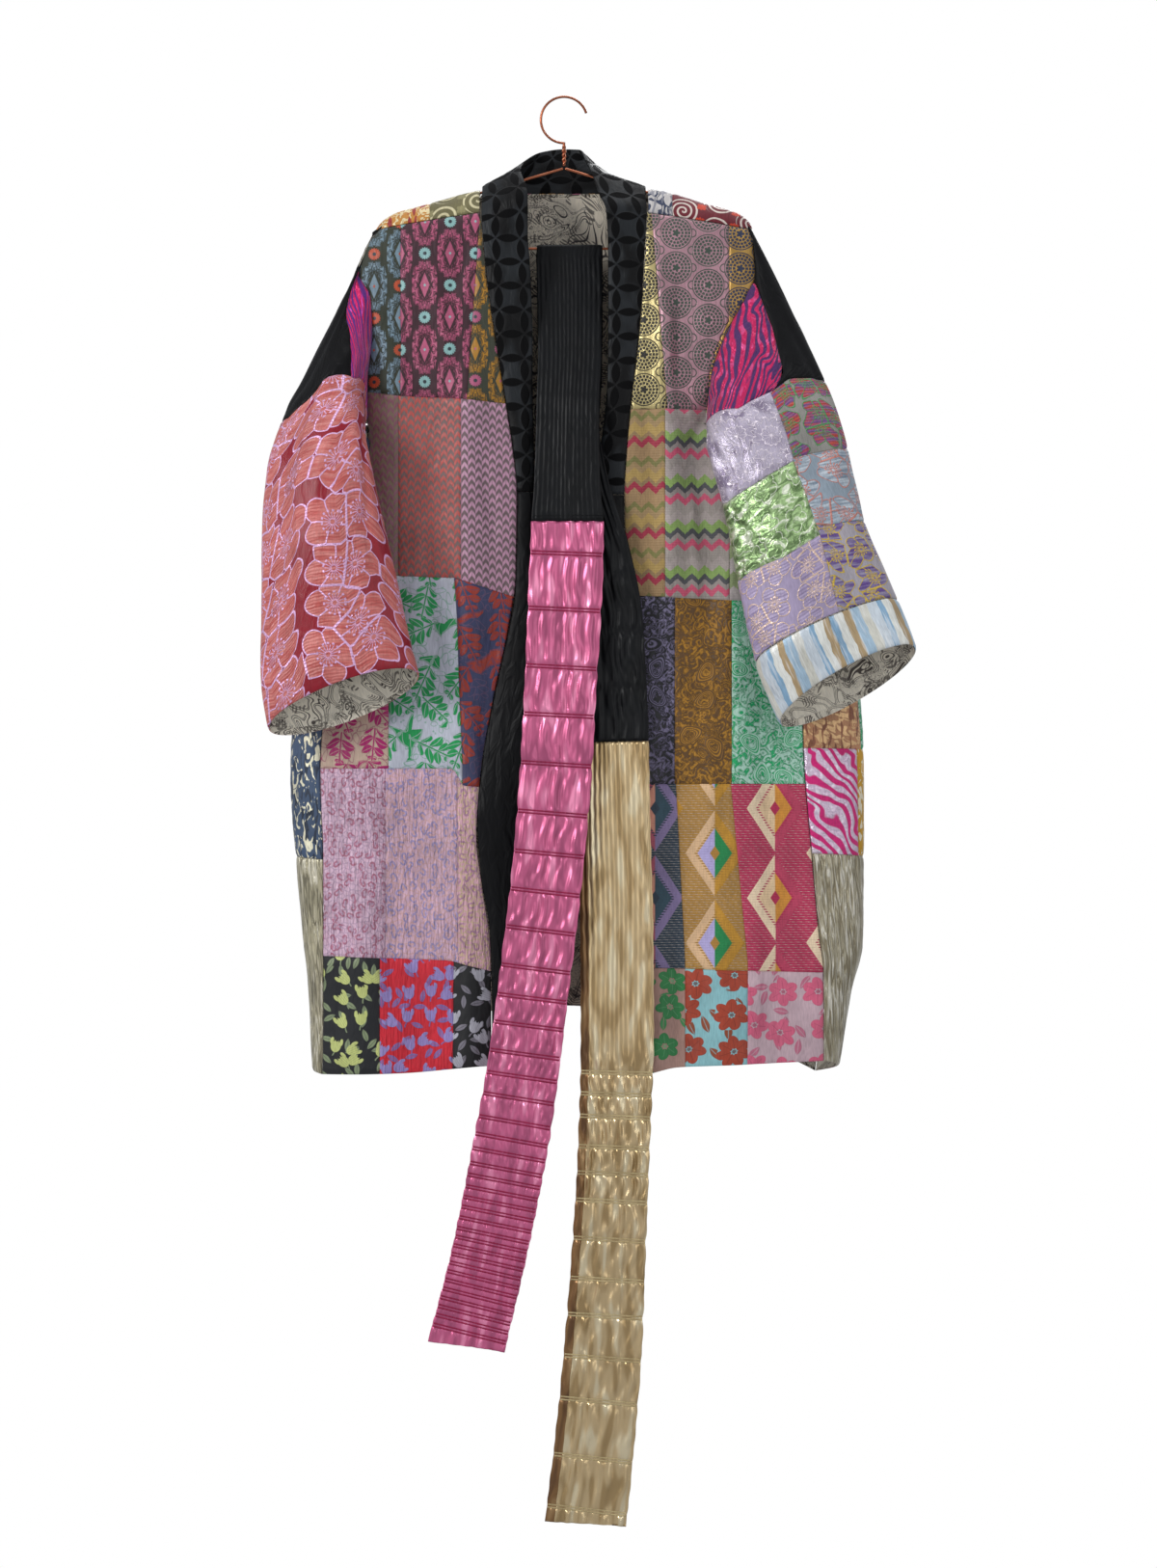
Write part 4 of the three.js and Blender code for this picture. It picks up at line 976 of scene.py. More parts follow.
def zebra(name, base, stripe, glint, wide, tall, count, tilt, shine, pitch):
    """Slanting bands that wander, fork and close."""
    m = Loom(name)
    flow = m.noise(m.u / wide, m.v / tall, 0.4, 0.5) * count + (m.v + m.u * tilt) / pitch
    mask = m.fill(m.zigzag(flow, 1.0) + 0.05, 0.22)
    gleam = m.fill(m.noise(m.u / 9, m.v / 14, 2.0) - 0.62, 0.06) * mask
    colour = m.mix(gleam * 0.55, m.mix(mask, base, stripe), glint)
    pucker = m.noise(m.u / 5, m.v / 3.4, 2.0, 0.4) - 0.5
    return m.finish(colour, 0.55 - mask * 0.25, mask * shine, mask * 0.35 + pucker * 1.3, 0.2)


def blossoms(name, ground, petal, outline, size, metal=0.0, edge=1.3, shade=None, rough=0.45,
             cover=0.6, warp=0.8):
    """Five-petalled blossoms, overlapping or loose, with dotted stamens."""
    m = Loom(name)
    p, q, turn, kind = m.cells(size, spread=0.65)
    p, q = p + m.sin(m.v / 5) * warp, q + m.sin(m.u / 6) * warp
    r, angle = m.polar(p, q)
    angle = angle + turn * ANY_TURN
    shape = m.flower(r, angle, 5, size * cover, 0.3)
    body = m.fill(shape)
    border = m.edges(size, spread=0.65)
    parting = m.cos(angle * 2.5)
    rim = m.top(m.line(shape, edge), m.line(border - 0.4, edge) * body)
    rim = m.top(rim, m.line(parting * r * 0.42, edge * 0.9) * m.fill(r - size * 0.2) * body)
    spokes = m.line(m.sin(angle * 8 + kind * 3) * r * 0.14, 0.75)
    stamens = spokes * m.fill(size * 0.2 - r) * m.fill(r - size * 0.05)
    stamens = m.top(stamens, m.line(r - size * 0.23, 2.0) * m.fill(m.sin(angle * 13) - 0.1, 0.3))
    mark = m.top(rim, stamens * body)
    streak = m.noise(m.u / 30, m.v / 4, 2.0)
    tint = m.mix(m.step(streak, 0.3, 0.7), petal, shade or petal)
    colour = m.mix(mark, m.mix(body, ground, tint), outline)
    ribs = m.sin(m.v * 1.9 + m.noise(m.u / 9, m.v / 9) * 5) * 0.2
    return m.finish(colour, rough, mark * metal if metal else 0.0, mark * 0.35 + body * ribs)


def loose_flowers(name, ground, petal, vein, leaf, size, petals, rough=0.5):
    """Flowers of separate petals with leaves between them."""
    m = Loom(name)
    p, q, turn, _ = m.cells(size, spread=0.5)
    p, q = p + m.sin(m.v / 5) * 0.9, q + m.sin(m.u / 6) * 0.9
    r, angle = m.polar(p, q * 1.12)
    angle = angle + turn * ANY_TURN
    wedge = m.size(m.sin(angle * (petals / 2))) - 0.12
    along = (r - 3.0) * (size * 0.47 - r) / (size * 0.11)
    shape = m.fill(along * 0.9 - (1 - wedge) * r * 0.85 + 0.4) * m.fill(r - 2.6)
    vein_mark = m.line(m.cos(angle * (petals / 2)) * r * 0.42, 0.6) * shape * m.fill(size * 0.36 - r)
    heart = m.fill(m.sin(angle * 7) * 0.4 + 2.2 - r)
    p, q, turn, _ = m.cells(size * 0.62, shift=6.4, spread=0.8)
    c, d = m.turned(p, q, turn * ANY_TURN)
    c = c + d * d * 0.06
    blade = (1 - c * c / (size * size * 0.055)) * (size * 0.1) - m.size(d)
    green = m.fill(blade) * m.fill(r - size * 0.42)
    rib = m.fill(0.35 - m.size(d)) * green
    colour = m.mix(green, ground, leaf)
    colour = m.mix(rib * 0.7, colour, ground)
    colour = m.mix(shape, colour, petal)
    colour = m.mix(m.top(vein_mark, heart) * 0.8, colour, vein)
    return m.finish(colour, rough, relief=m.top(shape, green) * 0.3)


def mums(name, ground, petal, outline):
    """Shiny chrysanthemums with many narrow petals."""
    m = Loom(name)
    p, q, turn, _ = m.cells(40, spread=0.7)
    r, angle = m.polar(p, q)
    angle = angle + turn * ANY_TURN + r * 0.02
    shape = m.flower(r, angle, 12, 21, 0.25)
    inside = m.fill(shape)
    rays = m.line(m.sin(angle * 6) * r * 0.35, 0.9) * inside
    ring = m.top(m.line(m.flower(r, angle, 12, 11, 0.2), 1.1), m.line(shape, 1.3))
    sprig = m.line(m.noise(m.u / 10, m.v / 10, 0.0, 2.0) * 12 - 6, 0.9) * (1 - inside)
    mark = m.top(m.top(rays, ring), sprig * 0.8)
    tone = m.noise(m.u / 26, m.v / 20, 1.0)
    body = m.mix(inside * 0.6, m.mix(m.step(tone, 0.4, 0.62), ground, petal), petal)
    return m.finish(m.mix(mark, body, outline), 0.3, 0.3, mark * 0.4 + inside * 0.3, 0.2, crumple=0.8)


def foil(name, dark, mid, light):
    """Metallic cloth with broken painted highlights and faint flowers."""
    m = Loom(name)
    # Painted highlights: the tone's light colour, in broken patches.
    tone = m.noise(m.u / 13, m.v / 8, 3.0, 0.8)
    colour = m.mix(m.step(tone, 0.34, 0.52), dark, mid)
    colour = m.mix(m.step(tone, 0.55, 0.68), colour, light)
    p, q, turn, _ = m.cells(30, spread=0.6)
    r, angle = m.polar(p, q)
    line = m.line(m.flower(r, angle + turn * 6, 5, 13, 0.3), 0.9)
    colour = m.mix(line * 0.7, colour, "f4f6e6")
    return m.finish(colour, 0.3, 0.7, line * 0.2, 0.1, crumple=2.2, crumple_size=(14, 9))


def spirals(name, ground, thread, flower, pitch, size):
    """Round spirals with small flowers between them."""
    m = Loom(name)
    p, q = m.repeat(size, size)
    r, angle = m.polar(p, q)
    coil = m.size(m.math("FRACT", r / pitch - angle / FULL_TURN) - 0.5) * pitch - pitch * 0.32
    mask = m.fill(coil) * m.fill(size * 0.46 - r)
    p2, q2 = m.size(p) - size / 2, m.size(q) - size / 4
    r2, angle2 = m.polar(p2, q2)
    spot = m.fill(m.flower(r2, angle2, 5, 5.5, 0.35))
    colour = m.mix(spot, m.mix(mask, ground, thread), flower)
    return m.finish(colour, 0.6 - mask * 0.2, 0.0, mask * 0.3)


def brushed(name, ground, mark, glint, metal, wide, tall, share, tilt=0.0):
    """Broken brush marks."""
    m = Loom(name)
    field = m.noise((m.u + m.v * tilt) / wide, m.v / tall, 2.0, 1.2)
    mask = m.fill(field - share, 0.02)
    colour = m.mix(mask, ground, mark)
    if glint:
        colour = m.mix(m.fill(m.noise(m.u / 5, m.v / 18, 1.0, 0.5) - 0.6, 0.03), colour, glint)
    metallic = mask * metal if metal else 0.0
    return m.finish(colour, 0.55 - mask * 0.15, metallic, mask * 0.3, crumple=0.8)


def stripes(name, colours, period):
    """Soft stripes that run along the sleeve."""
    m = Loom(name)
    t = m.math("FRACT", (m.u + m.noise(m.u / 20, m.v / 20, 2.0) * 6) / period)
    gleam = m.step(m.noise(m.u / 4, m.v / 40, 2.0), 0.5, 0.7)
    return m.finish(m.mix(gleam * 0.4, m.bands(t, colours), "f2f4f4"), 0.34, 0.15, sheen=0.2)


def crinkle(name, dark, mid, light):
    """Cream and silver cloth with upright crinkles, with painted highlight on their ridges and painted
    shade in their troughs.
    """
    m = Loom(name)
    rib = m.noise(m.u / 3.6, m.v / 34, 3.0, 1.2)
    # The colour follows the crinkles' relief: painted shade in the troughs and painted highlight on the
    # ridges, over the cloth's own cream and silver.
    colour = m.mix(m.step(rib, 0.36, 0.5), dark, mid)
    colour = m.mix(m.step(rib, 0.54, 0.64), colour, light)
    return m.finish(colour, 0.36, 0.45, rib * 3.0, 0.1, weave=0)


def line_art(name, ground, thread, scale=1.0):
    """Cream lining with dark line drawing in loops and hatching."""
    m = Loom(name)
    loop = m.noise(m.u / (34 * scale), m.v / (34 * scale), 0.0, 1.8)
    mask = m.line((loop - 0.5) * 70 * scale, 2.6)
    for level in (0.36, 0.395, 0.6, 0.64):
        mask = m.top(mask, m.line((loop - level) * 70 * scale, 1.5))
    twig = m.noise(m.u / 7, m.v / 7, 1.0, 2.2)
    busy = m.fill(m.noise(m.u / (40 * scale), m.v / (40 * scale) + 5, 1.0) - 0.5, 0.03)
    mask = m.top(mask, m.line((twig - 0.5) * 20, 1.3) * (busy * 0.9))
    hatched = m.fill(m.noise(m.u / 17, m.v / 17, 1.0) - 0.58, 0.02)
    hatch = m.fill(m.sin((m.u + m.v) * 1.5 + loop * 30)) * hatched
    mask = m.top(mask, hatch * 0.8)
    return m.finish(m.mix(mask, ground, thread), 0.5, relief=mask * 0.05)


def velvet(name, pile, satin_ground, side=25.0):
    """Black velvet petals, four to a cross, on a satin ground with painted sheen in slow patches."""
    m = Loom(name)
    x = m.size(m.math("PINGPONG", m.u + 4, side / 2))
    y = m.size(m.math("PINGPONG", m.v, side / 2))
    short = m.math("MINIMUM", x, y)
    rest = side - m.top(x, y)
    far = m.math("SQRT", rest * rest + short * short)
    petal = m.fill(side * 0.67 - far, 0.6)
    # Painted sheen: in slow patches the ground shows the satin's lighter, gleaming colour, and elsewhere
    # the black of the pile.
    painted_sheen = m.step(m.noise(m.u / 30, m.v / 46, 2.0), 0.38, 0.62)
    colour = m.mix(petal, m.mix(painted_sheen, pile, satin_ground), pile)
    return m.finish(colour, 0.5 + petal * 0.45, relief=petal * 0.7, sheen=0.03, weave=0.0, gloss=0.2)


def satin(name, dark, light, rough, sheen=0.03, crumple=1.0, gloss=0.3):
    """Plain cloth or thread with a slow change of tone."""
    m = Loom(name)
    tone = m.noise(m.u / 22, m.v / 40, 2.0)
    colour = m.mix(tone, dark, light)
    return m.finish(colour, rough, sheen=sheen, crumple=crumple, weave=0.03, gloss=gloss)


def shirring(name, dark, mid, light, rough=0.3, metal=0.5):
    """Metallic satin with soft patches of painted highlight and painted shade along its gathers."""
    m = Loom(name)
    # The tone's dark colour is painted shade and its light colour painted highlight, round the satin's own
    # mid colour.
    tone = m.noise(m.u / 9, m.v / 44, 0.5, 0.2)
    colour = m.mix(m.step(tone, 0.3, 0.5), dark, mid)
    colour = m.mix(m.step(tone, 0.56, 0.76), colour, light)
    return m.finish(colour, rough, metal, sheen=0.0, crumple=0.2, crumple_size=(9, 20), weave=0.03,
                    wear=0.05)


def copper(name):
    """The hanger's drawn wire."""
    m = Loom(name)
    tone = m.noise(m.u / 3, m.v / 9, 3.0)
    return m.finish(m.mix(tone, "8f4a33", "c98262"), 0.3, 0.95, sheen=0.0, weave=0, crumple=0.05)


# Every fabric by name: how it is woven, and its colours and numbers.
FABRICS = {
    "daisy_blue": (damask, "2c3124", "6f8694", "b44a2a"),
    "daisy_rose": (damask, "3a1c26", "ae5272", "88b2b0"),
    "daisy_gold": (damask, "35382a", "a5741e", "a85474"),
    "arrow_mauve": (arrows, "845262", "7d6a58"),
    "arrow_red": (arrows, "b4504a", "77605e"),
    "arrow_lilac": (arrows, "b88aa2", "6a585c"),
    "leaf_magenta": (leaves, "b8a08e", "a01660", "8a4a60", 34),
    "leaf_green": (leaves, "b4b8c4", "12914c", "6e9c86"),
    "leaf_rust": (leaves, "34385a", "8f2c1e", "5c4460"),
    "leopard_rose": (leopard, "dab8cc", "a85a74", "b090ac"),
    "leopard_lilac": (leopard, "d0aabc", "8f86b8", "c89a90"),
    "leopard_pink": (leopard, "d8a8b4", "a87898", "c8b47c"),
    "bell_yellow": (bells, "14161a", "bcc478", "7f8c6a"),
    "bell_lilac": (bells, "c81e30", "8c84c0", "7c64a0", 2.2),
    "bell_silver": (bells, "111114", "a9a8b2", "74707a"),
    "circle_gold": (dotted_circles, "221f18", "c2b27c", 0.5),
    "circle_pink": (dotted_circles, "3e4c42", "b08690", 0.35),
    "circle_navy": (dotted_circles, "28304a", "b08a44", 0.4),
    "zigzag_tan": (chevrons, [(0.3, "9c7e58"), (0.14, "9c2a40"), (0.1, "8e7450"), (0.2, "a88c50"),
                              (0.14, "9a8058"), (0.12, "787440")], 47, 14.5, 3.4),
    "zigzag_mauve": (chevrons, [(0.24, "9c928c"), (0.14, "c2506c"), (0.12, "928884"), (0.12, "4c4c50"),
                                (0.18, "84a058"), (0.2, "a89c98")], 47, 14.5, 3.4, 9),
    "zigzag_grey": (chevrons, [(0.5, "7d8a60"), (0.5, "a39a98")], 30, 14.5, 3.4),
    "paisley_dark": (paisley, "77708c", "121118"),
    "paisley_ochre": (paisley, "a5741e", "5c3f1c"),
    "paisley_green": (paisley, "159c5e", "a6ccba"),
    "lozenge_teal": (lozenges, "2c3c4a", "d8947e", "34505e", "b4586a", "8a7aa4"),
    "lozenge_ochre": (lozenges, "a87c34", "b0a6d4", "1c8448", "dab48a", "c08c2c"),
    "lozenge_red": (lozenges, "b0264e", "e2c49c", "cc8a34", "e8d0b0", "b83e5c"),
    "bloom_green": (loose_flowers, "ab867a", "2c7f44", "6aa272", "3c8a50", 34, 6),
    "bloom_rust": (loose_flowers, "86b8be", "a03c24", "5e2014", "8a4426", 40, 7),
    "bloom_pink": (loose_flowers, "bda2aa", "cc5c7a", "9c3858", "b86880", 36, 6, 0.36),
    "brush_navy": (brushed, "3c4e68", "e4dfc4", "222e40", 0.3, 7, 15, 0.57),
    "crinkle_gold": (crinkle, "7c7662", "b4ac90", "dad4c0"),
    "crinkle_cream": (crinkle, "867c64", "aca48c", "d4cfc0"),
    "yoke_olive": (spirals, "6a6442", "cdc49c", "86805a", 7.5, 34),
    "yoke_brocade": (brushed, "be8236", "e4d2a4", "96302a", 0.2, 7, 7, 0.53),
    "yoke_grey": (brushed, "bebab8", "303a54", "8a8a92", 0.0, 9, 14, 0.56),
    "yoke_wine": (spirals, "681422", "d2c4ba", "c23c22", 5.6, 36),
    "copper_orange": (brushed, "b4825e", "d8b080", "84543e", 0.4, 8, 9, 0.5, 0.8),
    "zebra_silver": (zebra, "cc1470", "d2bcd0", "f6eef8", 30, 34, 2.6, 1.1, 0.5, 16.0),
    "mustard": (brushed, "c49420", "e6dcc0", None, 0.1, 7, 12, 0.55),
    "black_satin": (satin, "030304", "0a0a0d", 0.45, 0.0, 0.7, 0.16),
    "black_twill": (satin, "060608", "0f1012", 0.55, 0.0, 0.7, 0.16),
    "zebra_pink": (zebra, "5c0a80", "d41062", "c860e0", 34, 30, 3.2, 0.5, 0.3, 12.0),
    "zebra_rose": (zebra, "43145c", "cc1c60", "ee64a8", 32, 30, 3.0, -0.7, 0.35, 14.0),
    "coral": (blossoms, "8c0a20", "b8544f", "e2b4de", 50, 0.3, 1.7, "cc7a74", 0.34, {"cover": 0.64}),
    "pearl": (mums, "8a7d96", "c6bccf", "efe3ee"),
    "lime": (foil, "6f8a5a", "a9c98c", "eef6dc"),
    "lilac": (blossoms, "a89ab8", "b5a6c6", "e6c8b4", 31, 0.4, 1.2, "9c8cae", 0.34),
    "floral_red": (blossoms, "8e8c86", "b4402e", "4c8c54", 30, 0.0, 1.4, "6c4a86",
                   {"cover": 0.62, "warp": 4}),
    "floral_blue": (blossoms, "8c9aa6", "bcc6ce", "c88478", 32, 0.1, 1.2, "7e8e9e", 0.36,
                    {"cover": 0.62, "warp": 3}),
    "floral_violet": (blossoms, "a29ca4", "5a3e84", "ccae40", 29, 0.0, 1.3, "948ca4", {"warp": 4}),
    "cuff": (stripes, [(0.2, "c6d0d8"), (0.12, "84a8c4"), (0.16, "dedfd8"), (0.14, "ae9670"),
                       (0.2, "a2bccf"), (0.18, "d2d1c6")], 52),
    "lining": (line_art, "e2dac8", "4a423c"),
    # lining_dark: the lining's line drawing at a larger scale, a little darker all over; the darkening is
    # partly painted shade for the inside of the back.
    "lining_dark": (line_art, "d8cebc", "3a3434", 1.5),
    "velvet": (velvet, "020203", "1e2124"),
    # The pink and gold satins' dark colours are painted shade and their light colours painted highlight,
    # round their own mid colours.
    "pink": (shirring, "b0567a", "cb648c", "ec8eb2", 0.28, 0.45),
    "gold": (shirring, "a88e64", "c8b086", "dccdaa", 0.25, 0.65),
    # A darker, browner copy of the gold: painted shade for the gold tail's strip that turns away.
    "gold_brown": (shirring, "66492f", "84623e", "a2825a"),
    "thread_red": (satin, "7c1038", "9c1c48", 0.5),
    "thread_pale": (satin, "a08a60", "c8b88c", 0.5),
    "sash_black": (satin, "050607", "0e1013", 0.42, 0.0, 0.5, 0.2),
    "copper": (copper,),
}


def woven(name):
    """One fabric's material. What a row holds after its colours and numbers goes by name."""
    weave, *values = FABRICS[name]
    named = values.pop() if values and isinstance(values[-1], dict) else {}
    return weave(name, *values, **named)


F = {name: woven(name) for name in FABRICS}

# ---- fronts ------------------------------------------------------------------------------
# The lower borders of a front's rows, as drops by x. A row holds its lower border, and then
# borders across, as x by level, and the fabrics between them.
A_RIGHT = border((-206, 306.2), (-169, 311.6), (-119, 314.1), (-62, 320))
B_RIGHT = border((-177, 497.2), (-113, 499.2), (-51, 519))
C_RIGHT = border((-250, 695.2), (-113, 695.2), (-103, 713), (-80, 715))
D_RIGHT = border((-250, 888), (-118, 892), (-75, 903))
A_LEFT = border((60, 326), (210, 326))
B_LEFT = border((60, 517), (200, 524))
C_LEFT = border((60, 711), (260, 711))
D_LEFT = border((70, 899), (265, 905))


def outer_border(side):
    """A front's outer edge: the armhole down to the underarm, and then the side seam."""

    def at(level):
        x = edge_x[side](level)
        for _ in range(5):
            x = edge_x[side](front_drop(x, level))
        return lerp(x, edge_x[side](level), smooth(level, UNDERARM - 4, FOOT))

    return at


def as_level(drops):
    """A border of drops by x, as levels by x."""
    return lambda x: level_at(x, drops(x))


def front(name, rows):
    """A front's patches, row by row."""
    piece = Piece(name)
    tops = [steady(YOKE_LEVEL)] + [as_level(row[0]) for row in rows[:-1]]
    bottoms = tops[1:] + [steady(FRONT_HEM)]
    for top, bottom, (_, *columns) in zip(tops, bottoms, rows):
        for left, fabric, right in zip(columns[0::2], columns[1::2], columns[2::2]):
            add_patch(piece, front_surface, F[fabric], left, right, top, bottom, 4.0, "upright",
                      inner=F["lining"])
    return piece


right_outer, right_seam = outer_border(-1), seam_x[-1]
front_right = front("cloth_front_right", [
    [A_RIGHT, right_outer, "daisy_blue", steady(-168.3), "daisy_rose",
     border((126, -86.5), (312, -99.4)), "daisy_gold", right_seam],
    [B_RIGHT, right_outer, "arrow_mauve", steady(-170.2), "arrow_red", steady(-105.9), "arrow_lilac",
     right_seam],
    [C_RIGHT, right_outer, "leaf_magenta", steady(-180), "leaf_green",
     border((500, -112.8), (690, -104)), "leaf_rust", right_seam],
    [D_RIGHT, right_outer, "leopard_rose", steady(-183), "leopard_lilac", steady(-108.9),
     "leopard_pink", right_seam],
    [None, right_outer, "bell_yellow", steady(-189), "bell_lilac", steady(-113.8), "bell_silver",
     right_seam],
])
front_right.build(["front_right"], "brocade_rose", (0.20, 0.89), ["shoulder_yoke_right"])

left_seam, left_outer = seam_x[1], outer_border(1)
OUTER_COLUMN = 170.2  # where the outer column of the left front's upper rows starts


def circle_border(level):
    return np.minimum(OUTER_COLUMN, left_outer(level) - 3 * smooth(-level, -300, -240) - 1)


def zigzag_border(level):
    return np.minimum(OUTER_COLUMN, left_outer(level) - 2)


front_left = front("cloth_front_left", [
    [A_LEFT, left_seam, "circle_gold", border((122, 90), (318, 106)), "circle_pink", circle_border,
     "circle_navy", left_outer],
    [B_LEFT, left_seam, "zigzag_tan", steady(103.9), "zigzag_mauve", zigzag_border, "zigzag_grey",
     left_outer],
    [C_LEFT, left_seam, "paisley_dark", steady(113.8), "paisley_ochre", steady(172.2),
     "paisley_green", left_outer],
    [D_LEFT, left_seam, "lozenge_teal", border((711, 115), (900, 124.7)), "lozenge_ochre",
     border((711, 171.2), (900, 188)), "lozenge_red", left_outer],
    [None, left_seam, "bloom_green", steady(124.7), "bloom_rust", steady(188.1), "bloom_pink", left_outer],
])
front_left.build(["front_left"], "brocade_ochre", (0.19, 0.88), ["shoulder_yoke_left"])

# ---- side panels -------------------------------------------------------------------------
# Rows of a panel: lower border, front fabric, share at which it ends, rear fabric.
for side, name, word, width, rows in (
    (-1, "right", "brocade_navy", 0.09, [
        (783, "brush_navy", 0.55, "zigzag_tan"),
        (1008, "crinkle_gold", 0.6, "leopard_lilac"),
    ]),
    (1, "left", "brocade_magenta", 0.112, [
        (675, "copper_orange", 0.5, "paisley_green"),
        (787, "zebra_silver", 0.42, "mustard"),
        (1008, "crinkle_cream", 0.62, "bloom_pink"),
    ]),
):
    piece, top = Piece("cloth_side_" + name), SIDE_TOP
    for bottom, first, at, second in rows:
        for fabric, low, high in ((first, 0, at), (second, at, 1)):
            add_patch(piece, side_surface(side), F[fabric], steady(low), steady(high), steady(top),
                      steady(bottom), inner=F["lining"])
        top = bottom
    piece.build(["side_panel_" + name], word, (width, 0.67), ["sleeve_" + name])

# ---- yokes -------------------------------------------------------------------------------
for side, name, word, inner_end, fabrics in (
    (-1, "right", "brocade_olive", 138.6, ("yoke_olive", "yoke_brocade")),
    (1, "left", "brocade_burgundy", 112.0, ("yoke_grey", "yoke_wine")),
):
    piece = Piece("cloth_yoke_" + name)
    ends = (NECK_HALF + 2 * SEAM, inner_end, YOKE_OUTER)
    for fabric, near, far in zip(fabrics, ends, ends[1:]):
        add_patch(piece, yoke_surface, F[fabric], steady(side * near), steady(side * far), steady(-1),
                  steady(1), 3.0, inner=F["lining"])
    piece.build(["shoulder_yoke_" + name], word, (0.125, 0.085), ["hanger_arm_" + name])

# ---- back --------------------------------------------------------------------------------
BACK_COLUMNS = [-1, -0.6, -0.2, 0.22, 0.62, 1]
# Each column's fabrics from the top down, with the levels at which they end.
BACK_FABRICS = [
    "300 arrow_red 520 leaf_green 720 leopard_pink 880 zigzag_mauve 1008 bell_silver",
    "260 circle_gold 470 paisley_ochre 650 daisy_rose 860 lozenge_teal 1008 bloom_rust",
    "330 daisy_gold 540 arrow_lilac 760 leaf_rust 900 circle_pink 1008 bell_lilac",
    "280 leaf_magenta 500 zigzag_tan 690 paisley_dark 870 leopard_lilac 1008 bloom_green",
    "310 paisley_green 490 leopard_rose 700 circle_navy 850 arrow_mauve 1008 bell_yellow",
]
back = Piece("cloth_back")
for low, high, row in zip(BACK_COLUMNS, BACK_COLUMNS[1:], BACK_FABRICS):
    top, words = YOKE_LEVEL, row.split()
    for bottom, fabric in zip(map(int, words[0::2]), words[1::2]):
        add_patch(back, back_surface, F[fabric], steady(low), steady(high), steady(top),
                  steady(bottom), 5.0, "upright", inner=F["lining"])
        top = bottom
back.build(["back"], "brocade_rose", (0.50, 0.87), ["shoulder_yoke_right", "shoulder_yoke_left"])

# The back's lining is a little darker than the sleeves' lining: partly painted shade inside the back.
inside = Piece("cloth_back_lining")
add_patch(inside, back_surface, F["lining_dark"], steady(-1), steady(1), steady(YOKE_LEVEL + 3),
          steady(FRONT_HEM - 9), 8.0, "upright", out=-LINING_GAP, back=-LINING_GAP - LINING,
          seams=False)
inside.build(["back_lining"], "lining", (0.50, 0.86), ["back"])

# ---- sleeves -----------------------------------------------------------------------------
TURN_MM, SHARE_MM = 265.0, 560.0  # rough lengths of a half turn and of a whole sleeve


def sleeve_relief(side):
    """A sleeve's creases, and how its rear edge stands over the back."""
    def relief(turn, share):
        height = np.zeros(turn.shape)
        for share1, turn1, share2, turn2, width, size in SLEEVE_CREASES[side]:
            dx, dy = (turn2 - turn1) * TURN_MM, (share2 - share1) * SHARE_MM
            length = math.hypot(dx, dy)
            x, y = ((turn - turn1 + 1) % 2 - 1) * TURN_MM, (share - share1) * SHARE_MM
            t = (x * dx + y * dy) / length**2
            away = (x * dy - y * dx) / length + 5 * np.sin(3 * t)
            height += size * smooth(t, 0, 0.3) * (1 - smooth(t, 0.65, 1)) * np.exp(-((away / width) ** 2))
        behind = smooth(-np.sin(np.pi * turn), 0, 0.3)
        over_back = SLEEVE_OVER_BACK * behind * (1 - smooth(share, 0.04, 0.18))
        return height * smooth(share, 0, 0.12) + over_back

    return relief


def sleeve_patches(piece, side, patches, out=CLOTH, back=0.0, seams=True, cell=4.5,
                   inner="lining"):
    """Each patch: fabric, borders in turns by share, and borders in shares by turn."""
    surface = sleeve_surface(side)
    ring = surface(*np.meshgrid(np.linspace(-0.5, 0.5, 9), np.linspace(0.3, 0.9, 9)))
    tube = surface(*np.meshgrid(np.linspace(0, 1.75, 8), np.linspace(0.3, 0.9, 9)))
    outward = (normals_of(ring) * (ring - tube.mean(1, keepdims=True))).sum()
    for fabric, left, right, top, bottom in patches:
        add_patch(piece, surface, F[fabric], left, right, top, bottom, cell, "arc",
                  sleeve_relief(side), outward, F[inner], out, back, seams)


# Borders of the sleeves' patches: (turn, share), from the top of the right sleeve down.
right_black = border((-0.6, 0.42), (0, 0.4), (0.16, 0.38), (0.28, 0.32), (0.36, 0.255),
                     (0.58, 0.19), (0.76, 0.07), (1, 0.09), (1.4, 0.3))
zebra_right = border((0, 0.34), (0.07, 0.26), (0.15, 0.3), (0.2, 0.55), (0.3, 0.6))
sleeve_right = Piece("cloth_sleeve_right")
sleeve_patches(sleeve_right, -1, [
    ("black_satin", steady(-0.6), zebra_right, steady(0), right_black),
    ("zebra_pink", zebra_right, steady(1.0), steady(0), right_black),
    ("black_satin", steady(1.0), steady(1.4), steady(0), right_black),
    ("coral", steady(-0.6), steady(1.0), right_black, steady(1)),
    ("coral", steady(1.0), steady(1.4), right_black, steady(1)),
])
sleeve_right.build(["sleeve_right"], "brocade_coral", (0.30, 0.47), ["cloth_yoke_right"])

